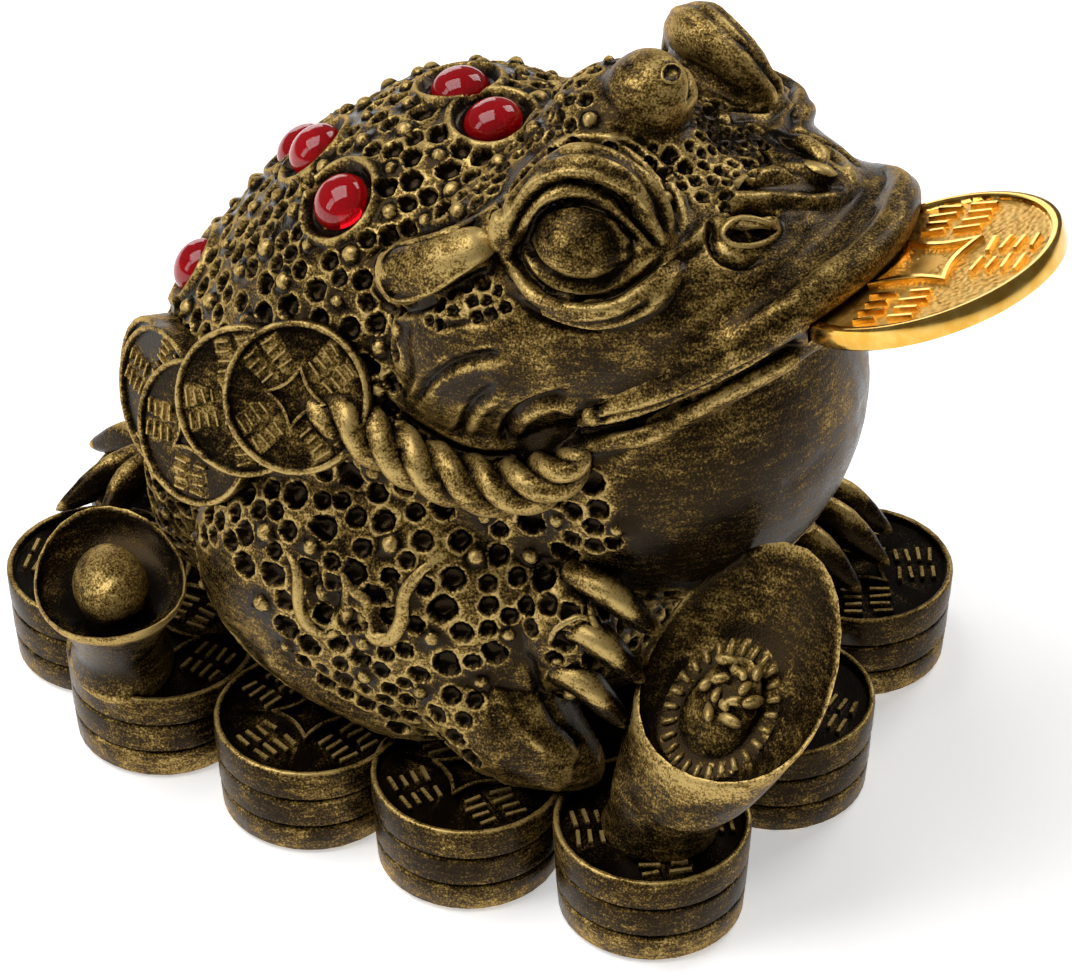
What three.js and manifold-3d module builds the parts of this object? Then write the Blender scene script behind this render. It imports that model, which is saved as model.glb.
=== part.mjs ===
// Money toad figure: a resin toad on a bed of coin stacks, a loose coin in its mouth
// and seven glass gems in its back. Millimetres, +Z up. The toad faces -Y, its left
// side is +X, and the origin is the bottom centre of the bed of coins.
import * as THREE from 'three';
import { mergeVertices } from 'three/addons/utils/BufferGeometryUtils.js';
import Module from 'manifold-3d';

const wasm = await Module();
wasm.setup();

// Driving dimensions
const FIT_GAP = 0.3;
const TOAD_LENGTH = 102;
const BED_COIN_RADIUS = 13.4;
const BED_COIN_COUNT = 3;
const BED_COIN_THICKNESS = 5;
const BED_GROOVE_DEPTH = 0.7;
const BED_RIM_WIDTH = 1.4;
const BED_FACE_DEPTH = 1;
const BED_STROKE_RISE = 0.7;
const BED_STROKE_WIDTH = 0.9;
const BED_HOLE_HALF = 3.4;
const BED_COIN_SIDES = 10;
const MOUTH_COIN_RADIUS = 18;
const MOUTH_COIN_THICKNESS = 3;
const MOUTH_COIN_TILT = 22.5;
const MOUTH_COIN_CHAMFER = 0.4;
const MOUTH_COIN_RIM_WIDTH = 1.5;
const MOUTH_COIN_FIELD_DEPTH = 0.5;
const MOUTH_COIN_HOLE_HALF = 5.2;
const MOUTH_COIN_STROKE_WIDTH = 1;
const MOUTH_COIN_SIDES = 22;
const STRING_COIN_RADIUS = 10.2;
const STRING_COIN_THICKNESS = 5.5;
const STRING_COIN_RIM_WIDTH = 1;
const STRING_COIN_FACE_DEPTH = 0.7;
const STRING_COIN_HOLE_HALF = 2.8;
const STRING_COIN_FRAME_WIDTH = 0.8;
const ROPE_RADIUS = 3.3;
const ROPE_TURNS = 4.5;
const ROPE_LIFT = 1.6;
const GEM_RADIUS = 4;
const GEM_HALF_HEIGHT = 3.2;
const EYEBALL_RADIUS = 6.6;
const LEFT_EYE_BACK = [3.5, -1.2];
const LEFT_NOSTRIL_LOWER = 1.2;
const TOE_RADIUS = 3.1;
const CLAW_LENGTH = 4;
const REAR_INGOT = { length: 27, width: 21, height: 15 };
const FRONT_INGOT = { length: 25, width: 27, height: 25 };

const BED_TOP = BED_COIN_COUNT * BED_COIN_THICKNESS;
const BED_FACE = BED_TOP - BED_FACE_DEPTH;
const DEG = Math.PI / 180;

// The toad's own points are on a grid on which it spans 102 steps and the bed's face is at step 14
const GRID_STEPS = 102;
const GRID_BED_STEP = 14;
const TOAD_UNIT = TOAD_LENGTH / GRID_STEPS;
const onToad = ([x, y, z]) => new THREE.Vector3(x, y, z - GRID_BED_STEP)
  .multiplyScalar(TOAD_UNIT).setZ(BED_FACE + (z - GRID_BED_STEP) * TOAD_UNIT);
const toadPoint = (p) => (p.isVector3 ? p : onToad(p));

// Places of the coin stacks. The side ones stand on both sides of the toad.
const SIDE_STACKS = [[-31.5, -45], [-35, -18.5], [-35.5, 6.5], [-32.5, 33], [-22, 50.5]];
const RIGHT_DRESS = ['bare', 'strokes', 'strokes', 'bare', 'bare'];
const LEFT_DRESS = ['strokes', 'frame', 'bare', 'bare', 'bare'];
const MIDDLE_STACKS = [[0, -48], [0, 51]];

// The coin rests on the back of the slot, as deep in the mouth as its own radius allows
const MOUTH_SLOT_BACK = onToad([0, -49.8, 85.9]);
const MOUTH_COIN_CENTRE = MOUTH_SLOT_BACK.clone().add(new THREE.Vector3(0, -MOUTH_COIN_RADIUS, 0)
  .applyAxisAngle(new THREE.Vector3(1, 0, 0), -MOUTH_COIN_TILT * DEG));

const RESIN = new THREE.MeshStandardMaterial({ color: '#4a3f22', roughness: 0.4, metalness: 0.5 });
const GILT = new THREE.MeshStandardMaterial({ color: '#e0a93a', roughness: 0.15, metalness: 1 });
const GLASS = new THREE.MeshStandardMaterial({ color: '#c4101c', roughness: 0.05, metalness: 0 });

// Closed three.js geometry to a solid that can be joined and cut
function solid(geometry) {
  const bare = geometry.clone();
  bare.deleteAttribute('normal');
  bare.deleteAttribute('uv');
  const merged = mergeVertices(bare, 1e-4);
  const build = () => new wasm.Manifold(new wasm.Mesh({
    numProp: 3,
    vertProperties: new Float32Array(merged.attributes.position.array),
    triVerts: new Uint32Array(merged.index.array),
  }));
  const first = build();
  if (first.volume() > 0) return first;
  turnInsideOut(merged.index.array);
  return build();
}

function turnInsideOut(index) {
  for (let i = 0; i < index.length; i += 3) {
    [index[i + 1], index[i + 2]] = [index[i + 2], index[i + 1]];
  }
}

function geometryOf(manifold) {
  const mesh = manifold.getMesh();
  const geometry = new THREE.BufferGeometry();
  geometry.setAttribute('position', new THREE.BufferAttribute(mesh.vertProperties, 3));
  geometry.setIndex(new THREE.BufferAttribute(mesh.triVerts, 1));
  geometry.computeVertexNormals();
  return geometry;
}

function joined(solids) {
  return solids.reduce((sum, one) => sum.add(one));
}

// A geometry turned by degrees about x, y and z and put at a point of the toad's grid
function placed(geometry, at, turn = [0, 0, 0]) {
  const matrix = new THREE.Matrix4().makeRotationFromEuler(new THREE.Euler(...turn.map((a) => a * DEG)));
  return geometry.applyMatrix4(matrix.setPosition(toadPoint(at)));
}

// A geometry whose own +Z is laid along a surface normal
function laidOn(geometry, point, normal) {
  const turn = new THREE.Quaternion().setFromUnitVectors(new THREE.Vector3(0, 0, 1), normal);
  return geometry.applyQuaternion(turn).translate(point.x, point.y, point.z);
}

function bothSides(make) {
  return [-1, 1].flatMap((side) => make(side));
}

// A rounded lump with three half sizes on the toad's grid
function blob(at, half, turn = [0, 0, 0], sides = 20) {
  const geometry = new THREE.SphereGeometry(1, sides, Math.round(sides * 0.6));
  geometry.scale(...half.map((c) => c * TOAD_UNIT));
  return solid(placed(geometry, at, turn));
}

// A solid of revolution about Z from [radius, height] pairs
function turned(profile, sides) {
  const geometry = new THREE.LatheGeometry(profile.map(([r, z]) => new THREE.Vector2(r, z)), sides);
  return geometry.rotateX(Math.PI / 2);
}

// A smooth value along a list of evenly spaced ones
function along(values, t) {
  const points = values.map((value, i) => new THREE.Vector3(i, value, 0));
  return new THREE.CatmullRomCurve3(points, false, 'catmullrom', 0.5).getPoint(t).y;
}

// A body lofted along Y from stations { y, half, top, bottom }, closed at both ends
function loftAlongY(stations, rings, sides, squareness) {
  const geometry = new THREE.SphereGeometry(1, sides, rings);
  const position = geometry.attributes.position;
  const value = (key, t) => along(stations.map((station) => station[key]), t);
  const soft = (c) => Math.sign(c) * Math.abs(c) ** (2 / squareness);
  for (let i = 0; i < position.count; i += 1) {
    const [x, y, z] = [position.getX(i), position.getY(i), position.getZ(i)];
    const t = Math.acos(THREE.MathUtils.clamp(y, -1, 1)) / Math.PI;
    const angle = Math.atan2(z, x);
    const open = Math.hypot(x, z) < 1e-6 ? 0 : 1;
    const [top, bottom] = [value('top', t), value('bottom', t)];
    const at = onToad([open * soft(Math.cos(angle)) * value('half', t), value('y', t),
      (top + bottom) / 2 + open * soft(Math.sin(angle)) * (top - bottom) / 2]);
    position.setXYZ(i, at.x, at.y, at.z);
  }
  return solid(geometry);
}

// A rounded limb along a smooth path of grid points, its radius changing from end to end.
// With turns, it has two strands twisted together.
function limb(points, radii, { rings = 8, sides = 8, turns = 0 } = {}) {
  const path = new THREE.CatmullRomCurve3(points.map(toadPoint));
  const geometry = new THREE.SphereGeometry(1, sides, rings);
  const position = geometry.attributes.position;
  const steps = 64;
  const { normals, binormals } = path.computeFrenetFrames(steps);
  const capShare = 0.12;
  for (let i = 0; i < position.count; i += 1) {
    const [x, y, z] = [position.getX(i), position.getY(i), position.getZ(i)];
    const t = Math.acos(THREE.MathUtils.clamp(y, -1, 1)) / Math.PI;
    const fromEnd = Math.min(t, 1 - t) / capShare;
    const cap = fromEnd >= 1 ? 1 : Math.sqrt(Math.max(0, 1 - (1 - fromEnd) ** 2));
    const angle = Math.atan2(z, x);
    const strands = turns ? 1 + 0.2 * Math.cos(2 * (angle - turns * Math.PI * t)) : 1;
    const radius = along(radii, t) * cap * strands;
    const k = Math.round(t * steps);
    const at = path.getPoint(t)
      .addScaledVector(normals[k], Math.cos(angle) * radius)
      .addScaledVector(binormals[k], Math.sin(angle) * radius);
    position.setXYZ(i, at.x, at.y, at.z);
  }
  return solid(geometry);
}

// A four-sided bar with square ends, for strokes and frames in relief
function bar(from, to, width, low, high) {
  const [dx, dy] = [to[0] - from[0], to[1] - from[1]];
  const geometry = new THREE.BoxGeometry(Math.hypot(dx, dy) + width, width, high - low);
  geometry.rotateZ(Math.atan2(dy, dx));
  return geometry.translate((from[0] + to[0]) / 2, (from[1] + to[1]) / 2, (low + high) / 2);
}

// A square frame in relief on a coin's face
function squareFrame(holeHalf, width, low, high) {
  const corner = Math.SQRT2;
  const frame = turned([[(holeHalf - width) * corner, low], [holeHalf * corner, low],
    [holeHalf * corner, high], [(holeHalf - width) * corner, high], [(holeHalf - width) * corner, low]], 4);
  return frame.rotateZ(Math.PI / 4);
}

// The frame with four short plain strokes round it
function coinRelief(radius, holeHalf, width, low, high) {
  const place = (radius + holeHalf) / 2;
  const reach = (radius - holeHalf) * 0.28;
  const strokes = [0, 1, 2, 3].map((quarter) => (
    bar([place, -reach], [place, reach], width * 1.6, low, high).rotateZ(quarter * Math.PI / 2)));
  return [squareFrame(holeHalf, width, low, high), ...strokes];
}

// A stack of coins: grooves between them, a rim and a sunk face on top.
// The dress of its face is one of bare, frame or strokes.
function bedStack([x, y], dress) {
  const r = BED_COIN_RADIUS;
  const profile = [[0, 0]];
  for (let k = 1; k <= BED_COIN_COUNT; k += 1) {
    const top = k * BED_COIN_THICKNESS;
    const edge = k === BED_COIN_COUNT ? top : top - BED_GROOVE_DEPTH;
    profile.push([r - BED_GROOVE_DEPTH, top - BED_COIN_THICKNESS], [r, edge]);
  }
  profile.push([r - BED_RIM_WIDTH, BED_FACE], [0, BED_FACE]);
  const low = BED_FACE - BED_FACE_DEPTH;
  const high = BED_FACE + BED_STROKE_RISE;
  const reliefs = {
    bare: () => [],
    frame: () => [squareFrame(BED_HOLE_HALF, BED_STROKE_WIDTH, low, high)],
    strokes: () => coinRelief(r - BED_RIM_WIDTH, BED_HOLE_HALF, BED_STROKE_WIDTH, low, high),
  };
  const parts = [turned(profile, BED_COIN_SIDES), ...reliefs[dress]()];
  return joined(parts.map((g) => solid(g.translate(x * TOAD_UNIT, y * TOAD_UNIT, 0))));
}

// The bed: stacks all round, and a plain slab under the toad that ties them together
function bed() {
  const stacks = [
    ...MIDDLE_STACKS.map((at) => bedStack(at, 'bare')),
    ...SIDE_STACKS.map((at, i) => bedStack(at, RIGHT_DRESS[i])),
    ...SIDE_STACKS.map(([x, y], i) => bedStack([-x, y], LEFT_DRESS[i])),
  ];
  const rows = SIDE_STACKS.map(([, y]) => y * TOAD_UNIT);
  const halfWidth = -SIDE_STACKS[2][0] * TOAD_UNIT;
  const length = Math.max(...rows) - Math.min(...rows);
  const slab = new THREE.BoxGeometry(halfWidth * 1.25, length, BED_FACE);
  slab.translate(0, (Math.max(...rows) + Math.min(...rows)) / 2, BED_FACE / 2);
  return joined([...stacks, solid(slab)]);
}

const WAISTED = [[0.66, 0], [0.61, 0.3], [0.76, 0.65]];

// A boat-shaped ingot: an oval bowl with raised ends over a foot, whose side is given.
// The profile is in shares of its half length and height.
function ingot(at, turn, size, boss, side = WAISTED, rim = { climb: [0, 0], lean: [0, 0] }) {
  const outside = [[0, 0], ...side, [1, 1]];
  const geometry = turned([...outside, [0.9, 1], [0.72, 0.84], ...boss], 10);
  const position = geometry.attributes.position;
  for (let i = 0; i < position.count; i += 1) {
    const x = position.getX(i);
    const z = position.getZ(i);
    position.setZ(i, z + 0.24 * x * x * Math.max(0, z - 0.4));
  }
  geometry.scale(size.length / 2, size.width / 2, size.height);
  return solid(placed(climbing(geometry, rim, size.height), at, turn));
}

// Raises what is above the foot in proportion to its place, so that a rim climbs to one side,
// and leans it over
function climbing(geometry, { climb, lean }, height) {
  const position = geometry.attributes.position;
  for (let i = 0; i < position.count; i += 1) {
    const [x, y, z] = [position.getX(i), position.getY(i), position.getZ(i)];
    const share = THREE.MathUtils.smoothstep(z / height, 0.25, 0.75);
    const rise = share * (climb[0] * x + climb[1] * y);
    position.setXYZ(i, x + lean[0] * z, y + lean[1] * z, z + rise);
  }
  return geometry;
}

function rearIngot() {
  const ball = [[0.52, 0.82], [0.46, 1], [0.28, 1.2], [0, 1.28]];
  return ingot([-38, 36, GRID_BED_STEP], [0, -6, 43], REAR_INGOT, ball);
}

// The rim of the front ingot climbs to the chest, and its bowl holds rays round a boss
function frontIngot() {
  const at = [-32, -46, GRID_BED_STEP];
  const rim = { climb: [0.9, -0.12], lean: [0.19, -0.34] };
  const boss = [[0.34, 0.82], [0.3, 0.92], [0, 0.96]];
  const { length, width, height } = FRONT_INGOT;
  const count = 8;
  const rays = Array.from({ length: count }, (_, k) => {
    const ray = bar([0.42, 0], [0.56, 0], 0.09, 0.7, 0.9);
    ray.rotateZ(k / count * 2 * Math.PI);
    ray.scale(length / 2, width / 2, height);
    return solid(placed(climbing(ray, rim, height), at));
  });
  const side = [[0.56, 0], [0.69, 0.3], [0.85, 0.65]];
  return joined([ingot(at, [0, 0, 0], FRONT_INGOT, boss, side, rim), ...rays]);
}

// The toad's main masses
function trunk() {
  return loftAlongY([
    { y: 44, half: 8, top: 48, bottom: 26 },
    { y: 40, half: 24, top: 65, bottom: 12 },
    { y: 29, half: 31, top: 80, bottom: 10 },
    { y: 11, half: 35, top: 95, bottom: 10 },
    { y: -8, half: 34, top: 98, bottom: 10 },
    { y: -26, half: 30, top: 92, bottom: 12 },
    { y: -36, half: 20, top: 70, bottom: 20 },
  ], 10, 14, 2.1);
}

function throat() {
  return blob([0, -28, 61], [30, 28, 30], [14, 0, 0], 14);
}

function head() {
  return loftAlongY([
    { y: 2, half: 20, top: 92, bottom: 64 },
    { y: -8, half: 33, top: 97, bottom: 58 },
    { y: -22, half: 34, top: 102, bottom: 61 },
    { y: -36, half: 29, top: 101, bottom: 71 },
    { y: -49, half: 22, top: 97, bottom: 80 },
    { y: -58, half: 15, top: 94, bottom: 85 },
  ], 10, 14, 2.3);
}

function forelegs() {
  return bothSides((s) => [
    blob([26 * s, -4, 36], [16, 31, 24], [0, 0, -8 * s], 12),
    limb([[30 * s, -14, 30], [31 * s, -26, 22], [29 * s, -36, 16]], [10, 9, 2.5], { rings: 6, sides: 8 }),
  ]);
}

function coreBody() {
  return joined([trunk(), throat(), head(), ...forelegs()]);
}

// Where a ray from outside meets the toad's masses
function surfaceFinder(core) {
  const mesh = new THREE.Mesh(geometryOf(core));
  const caster = new THREE.Raycaster();
  return (from, toward) => {
    caster.set(from, toward.clone().sub(from).normalize());
    const hit = caster.intersectObject(mesh)[0];
    return { point: hit.point, normal: hit.face.normal.clone() };
  };
}

const FAR = 2 * TOAD_LENGTH;
const core = coreBody();
const findSurface = surfaceFinder(core);
const onFlank = (side, y, z) => {
  const inside = onToad([0, y, z]);
  return findSurface(inside.clone().setX(FAR * side), inside);
};
const onBack = (x, y) => {
  const inside = onToad([x, y, GRID_BED_STEP]);
  return findSurface(inside.clone().setZ(FAR), inside);
};

// A ridge lying on the flank through [y, z] pairs, lifted out from the surface
function flankRidge(side, places, radii, lift, options) {
  const points = places.map(([y, z]) => {
    const { point } = onFlank(side, y, z);
    return point.setX(point.x + side * lift);
  });
  return limb(points, radii, options);
}

// Face
// The left eye sits a little further back than the right one
function eyes() {
  const brow = [[27, -20, 94], [25, -20.5, 100], [19.5, -26, 105.5], [17.5, -33, 104], [18, -39, 98]];
  const lid = [[28, -20, 94], [30.5, -26.5, 93], [29, -34.8, 92.6], [24.5, -40, 94.5], [19, -41, 97]];
  return bothSides((s) => {
    const back = s > 0 ? LEFT_EYE_BACK : [0, 0];
    const seat = ([x, y, z]) => [s * x, y + back[0], z + back[1]];
    return [
      blob(seat([20, -30, 95.5]), [6.5, 10.5, 9], [0, 0, -14 * s], 8),
      solid(placed(new THREE.SphereGeometry(EYEBALL_RADIUS, 9, 5), seat([22.4, -28.8, 97]))),
      limb(brow.map(seat), [1.2, 3, 4, 3, 1.2], { rings: 7, sides: 5 }),
      limb(lid.map(seat), [1, 1.7, 2, 1.7, 1], { rings: 5, sides: 4 }),
    ];
  });
}

function temples() {
  return bothSides((s) => [
    limb([[29.5 * s, 0, 83], [29.5 * s, -6, 86.5], [29 * s, -12, 90.5], [27.5 * s, -18, 95.5]],
      [3.2, 3, 2.8, 2.4], { rings: 5, sides: 5 }),
  ]);
}

function nostrils() {
  return bothSides((s) => {
    const low = s > 0 ? LEFT_NOSTRIL_LOWER : 0;
    const seat = ([x, y, z]) => [s * x, y, z - low];
    return [
      limb([[12, -40, 99], [10.5, -46, 99], [6, -48.5, 98.5]].map(seat), [2, 3.2, 1.6], { rings: 4, sides: 5 }),
      limb([[7, -37, 102], [6.5, -42, 100.5], [4, -48, 98.5]].map(seat), [1, 2.4, 1.4], { rings: 4, sides: 4 }),
    ];
  });
}

function crown() {
  return [
    blob([0, -24, 96], [15, 14.5, 9.5], [0, 0, 0], 10),
    blob([0, -25.5, 103.5], [8.5, 8, 6], [0, 0, 0], 8),
    blob([0, -26.5, 107.5], [5, 5, 4.8], [0, 0, 0], 8),
  ];
}

function lips() {
  const upper = [[-30, -31, 74], [-26, -42, 81], [-18, -54, 90.5], [0, -59.5, 94]];
  const lower = [[-29, -31, 69.5], [-24.5, -42, 75.5], [-16.5, -53, 84.5], [0, -58.5, 87]];
  const across = (half) => [...half, ...half.slice(0, -1).reverse().map(([x, y, z]) => [-x, y, z])];
  return [
    limb(across(upper), [1.2, 2.4, 2.4, 1.2], { rings: 10, sides: 4 }),
    limb(across(lower), [1.2, 2.2, 2.2, 1.2], { rings: 10, sides: 4 }),
  ];
}

// The folds of the right cheek
function cheekFolds() {
  const folds = [
    [[-24, 81], [-17, 78], [-10, 72]],
    [[-24, 76], [-18, 72], [-14, 66]],
  ];
  return folds.map((fold) => flankRidge(-1, fold, [0.8, 1.8, 0.8], 0.2, { rings: 4, sides: 4 }));
}

// Things hung on the flanks
// Each coin's front faces yaw degrees back from the side and rise degrees up
function coinStrings() {
  const r = STRING_COIN_RADIUS;
  const t = STRING_COIN_THICKNESS;
  const floor = -STRING_COIN_FACE_DEPTH;
  const plain = [[0, -t], [r, -t], [r, 0], [0, 0]];
  const rimmed = [[0, -t], [r, -t], [r, 0], [r - STRING_COIN_RIM_WIDTH, floor], [0, floor]];
  const coins = [
    { x: 27.4, y: 35.9, z: 54.3, yaw: 33, rise: 10 },
    { x: 30.2, y: 32.8, z: 55.6, yaw: 26, rise: 12 },
    { x: 34.5, y: 24.5, z: 55.8, yaw: 12, rise: 18 },
    { x: 36, y: 15, z: 65.5, yaw: -3, rise: 26 },
    { x: 37, y: 6, z: 70, yaw: -10, rise: 30 },
  ];
  return bothSides((s) => coins.map(({ x, y, z, yaw, rise }, i) => {
    const outward = new THREE.Vector3(s, 0, 0).applyAxisAngle(new THREE.Vector3(0, 0, 1), s * yaw * DEG);
    outward.setZ(Math.tan(rise * DEG)).normalize();
    const frame = () => squareFrame(STRING_COIN_HOLE_HALF, STRING_COIN_FRAME_WIDTH, 2 * floor, 0);
    const onTop = i === coins.length - 1;
    const forms = onTop ? [turned(rimmed, 12), frame()] : [turned(plain, 9)];
    return joined(forms.map((g) => solid(laidOn(g, onToad([s * x, y, z]), outward))));
  }));
}

function ropes() {
  const places = [[8, 66.5], [1, 67.5], [-7, 65], [-14.5, 63], [-22, 62.5], [-29, 66], [-34, 71]];
  return bothSides((s) => flankRidge(s, places, [ROPE_RADIUS, ROPE_RADIUS, ROPE_RADIUS * 0.9], ROPE_LIFT,
    { rings: 12, sides: 5, turns: ROPE_TURNS }));
}

// The curled cloud outline, on the right foreleg only
function cloudCurls() {
  const outline = [[7, 47], [3, 40], [-1, 36], [-4, 39], [-3.5, 43], [-6, 42], [-7, 38], [-10, 37], [-12, 42],
    [-12, 48], [-16, 51]];
  return [flankRidge(-1, outline, [0.6, 1.5, 1.3, 1.3, 0.6], 0.3, { rings: 13, sides: 4 })];
}

// Feet
function toe(from, knuckle, tip) {
  const [a, b] = [onToad(knuckle), onToad(tip)];
  const claw = b.clone().add(b.clone().sub(a).setLength(CLAW_LENGTH)).setZ(b.z - CLAW_LENGTH * 0.25);
  const radii = [TOE_RADIUS, TOE_RADIUS, TOE_RADIUS * 0.8, TOE_RADIUS * 0.2];
  return limb([from, a, b, claw], radii, { rings: 6, sides: 5 });
}

function rightHand() {
  return [
    blob([-29, -30, 40], [6, 7, 10], [0, 0, 0], 7),
    toe([-28, -29, 49], [-28.5, -36, 48.5], [-27.5, -40, 45]),
    toe([-30, -29, 42], [-31, -36, 42], [-30, -39.5, 38.5]),
    toe([-31, -28, 35], [-32.5, -34.5, 35.5], [-32, -38.5, 32]),
  ];
}

function leftHand() {
  return [
    blob([29, -30, 24], [7, 8, 8], [0, 0, 0], 7),
    toe([25, -33, 24], [24.5, -40, 21], [25, -45, 17.5]),
    toe([30, -33, 24], [31, -41, 21], [32, -46, 17.5]),
    toe([34, -31, 23], [37, -38, 20.5], [38.5, -43, 17.5]),
  ];
}

function hindFoot() {
  const toes = [[[-9, 53, 19.5], [-16, 53, 17]], [[-8, 56, 19.5], [-13, 60, 17]], [[0, 58, 19.5], [0, 63.5, 17]],
    [[8, 56, 19.5], [13, 60, 17]]];
  return [
    limb([[0, 34, 42], [0, 42, 30], [0, 48, 21], [0, 54, 17]], [12, 11, 8, 4], { rings: 5, sides: 8 }),
    ...toes.map(([knuckle, tip]) => toe([0, 49, 22], knuckle, tip)),
  ];
}

// Gems, in the layout of seven stars, each { point, normal } on the back
const GEM_PLACES = [[3, 4], [-3, -4.5], [-1, 26.5], [-8, 20], [-18.5, 9.5], [-14, 36], [21, 20]];
const GEM_SEATS = GEM_PLACES.map(([x, y]) => onBack(x, y));

function gem(seat, grow = 0) {
  const geometry = new THREE.SphereGeometry(1, 8, 4);
  geometry.rotateX(Math.PI / 2);
  geometry.scale(GEM_RADIUS + grow, GEM_RADIUS + grow, GEM_HALF_HEIGHT + grow);
  return solid(laidOn(geometry, seat.point, seat.normal));
}

function mouthCoin() {
  const r = MOUTH_COIN_RADIUS;
  const t = MOUTH_COIN_THICKNESS / 2;
  const inner = r - MOUTH_COIN_RIM_WIDTH;
  const field = t - MOUTH_COIN_FIELD_DEPTH;
  const c = MOUTH_COIN_CHAMFER;
  const profile = [[0, -t], [r - c, -t], [r, c - t], [r, t - c], [r - c, t], [inner, t], [inner, field], [0, field]];
  const low = field - MOUTH_COIN_FIELD_DEPTH;
  const bars = coinRelief(inner, MOUTH_COIN_HOLE_HALF, MOUTH_COIN_STROKE_WIDTH, low, t);
  const tilt = [-MOUTH_COIN_TILT, 0, 0];
  return joined([turned(profile, MOUTH_COIN_SIDES), ...bars].map((g) => solid(placed(g, MOUTH_COIN_CENTRE, tilt))));
}

// The slot that the coin rests in, one fit gap larger all round
function mouthSlot() {
  const r = MOUTH_COIN_RADIUS + FIT_GAP;
  const t = MOUTH_COIN_THICKNESS / 2 + FIT_GAP;
  const slot = turned([[0, -t], [r, -t], [r, t], [0, t]], MOUTH_COIN_SIDES);
  return solid(placed(slot, MOUTH_COIN_CENTRE, [-MOUTH_COIN_TILT, 0, 0]));
}

function casting() {
  const whole = joined([
    core, bed(), rearIngot(), frontIngot(),
    ...eyes(), ...temples(), ...nostrils(), ...crown(), ...lips(), ...cheekFolds(),
    ...coinStrings(), ...ropes(), ...cloudCurls(), ...rightHand(), ...leftHand(), ...hindFoot(),
  ]);
  const seats = joined(GEM_SEATS.map((seat) => gem(seat, FIT_GAP)));
  return whole.subtract(seats).subtract(mouthSlot());
}

function piece(name, made, material) {
  const mesh = new THREE.Mesh(geometryOf(made), material);
  mesh.name = name;
  return mesh;
}

const group = new THREE.Group();
group.add(piece('toad_casting', casting(), RESIN));
group.add(piece('mouth_coin', mouthCoin(), GILT));
GEM_SEATS.forEach((seat, i) => group.add(piece(`gem_${i + 1}`, gem(seat), GLASS)));

export default group;
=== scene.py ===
import math

import bpy
import numpy as np
from mathutils import Matrix, Vector, noise
from mathutils.bvhtree import BVHTree
from mathutils.kdtree import KDTree


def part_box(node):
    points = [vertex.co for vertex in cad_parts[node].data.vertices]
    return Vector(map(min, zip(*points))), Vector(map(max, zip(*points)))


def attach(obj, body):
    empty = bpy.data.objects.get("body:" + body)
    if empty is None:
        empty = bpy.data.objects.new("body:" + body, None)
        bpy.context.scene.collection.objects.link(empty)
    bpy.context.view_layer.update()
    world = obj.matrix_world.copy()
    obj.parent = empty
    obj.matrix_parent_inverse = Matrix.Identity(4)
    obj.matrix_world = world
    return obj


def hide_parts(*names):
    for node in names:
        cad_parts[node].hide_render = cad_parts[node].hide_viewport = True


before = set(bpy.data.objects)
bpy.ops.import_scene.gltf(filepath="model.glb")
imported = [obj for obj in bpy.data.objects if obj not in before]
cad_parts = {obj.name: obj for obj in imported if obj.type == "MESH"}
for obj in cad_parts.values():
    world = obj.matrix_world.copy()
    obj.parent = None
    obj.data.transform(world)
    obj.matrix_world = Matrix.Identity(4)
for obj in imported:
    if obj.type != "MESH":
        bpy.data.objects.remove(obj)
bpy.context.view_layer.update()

# The figure is shaped in millimetres and brought to metres at the end. The toad faces -Y,
# its left side is +X, and the middle of the underside of its bed of coins is the origin.
MM = 0.001

# The photograph's camera
PHOTO_WIDTH = 1072
PHOTO_HEIGHT = 975
CAMERA_PLACE = (-432.6, -253.8, 418.9)
CAMERA_FORWARD = (0.68972, 0.38992, -0.61012)
FOCAL_PIXELS = 4500
SENSOR_WIDTH = 36

# Sizes shared with the solids
FIT_GAP = 0.3
BED_RADIUS = 13.4
BED_COINS = 3
BED_COIN_THICKNESS = 5.0
BED_TOP = BED_COINS * BED_COIN_THICKNESS
BED_FACE = BED_TOP - 1.0
BED_RIM = 1.4
SIDE_STACKS = ((-31.5, -45), (-35, -18.5), (-35.5, 6.5), (-32.5, 33), (-22, 50.5))
MIDDLE_STACKS = ((0, -48), (0, 51))
MOUTH_COIN_RADIUS = 18.0
MOUTH_COIN_THICKNESS = 3.0
MOUTH_COIN_TILT = 22.5
MOUTH_SLOT_BACK = (0, -49.8, 85.9)
STRING_RADIUS = 10.2
STRING_COINS = ((27.4, 35.9, 54.3, 33, 10), (30.2, 32.8, 55.6, 26, 12), (34.5, 24.5, 55.8, 12, 18),
                (36, 15, 65.5, -3, 26), (37, 6, 70, -10, 30))
ROPE_RADIUS = 3.7
ROPE_TURNS = 2.9
ROPE_PLACES = ((8, 66.5), (1, 67.5), (-7, 65), (-14.5, 63), (-22, 62.5), (-29, 66), (-34, 71))
EYEBALL_RADIUS = 6.6
EYE_CENTRE = (22.4, -28.8, 97)
LEFT_EYE_BACK = (0, 3.5, -1.2)
FAR_NOSTRIL_LOWER = 3.0
TOE_RADIUS = 3.1
GEM_RADIUS = 4.0
GEM_HALF_HEIGHT = 3.2
GEM_COUNT = 7

# Sizes of detail that only the scene has
LEFT_TEMPLE_DOWN = (-2, 0, -4.5)
CLAW_LENGTH = 4.0
FRAME_HALF = 5.7
BED_FRAME_HALF = 3.9
STRING_FRAME_HALF = 3.1
RAY_COUNT = 26
LEAF_COUNT = 13
SEAT_GAP = 0.15
GRAIN_PER_MM = 2
GRAIN_HEIGHT = 0.26

# Fineness of the modelled skin, and of the curves that its masses follow
PATH_STEPS = 160
STATION_STEPS = 200
VOXEL = 0.39
CASTING_TRIANGLES = 192000
SEED = 7

# How near the middle of an eyeball, and the line of a temple, the skin has no pits
SMOOTH_EYE = 12
SMOOTH_TEMPLE = 4

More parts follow.
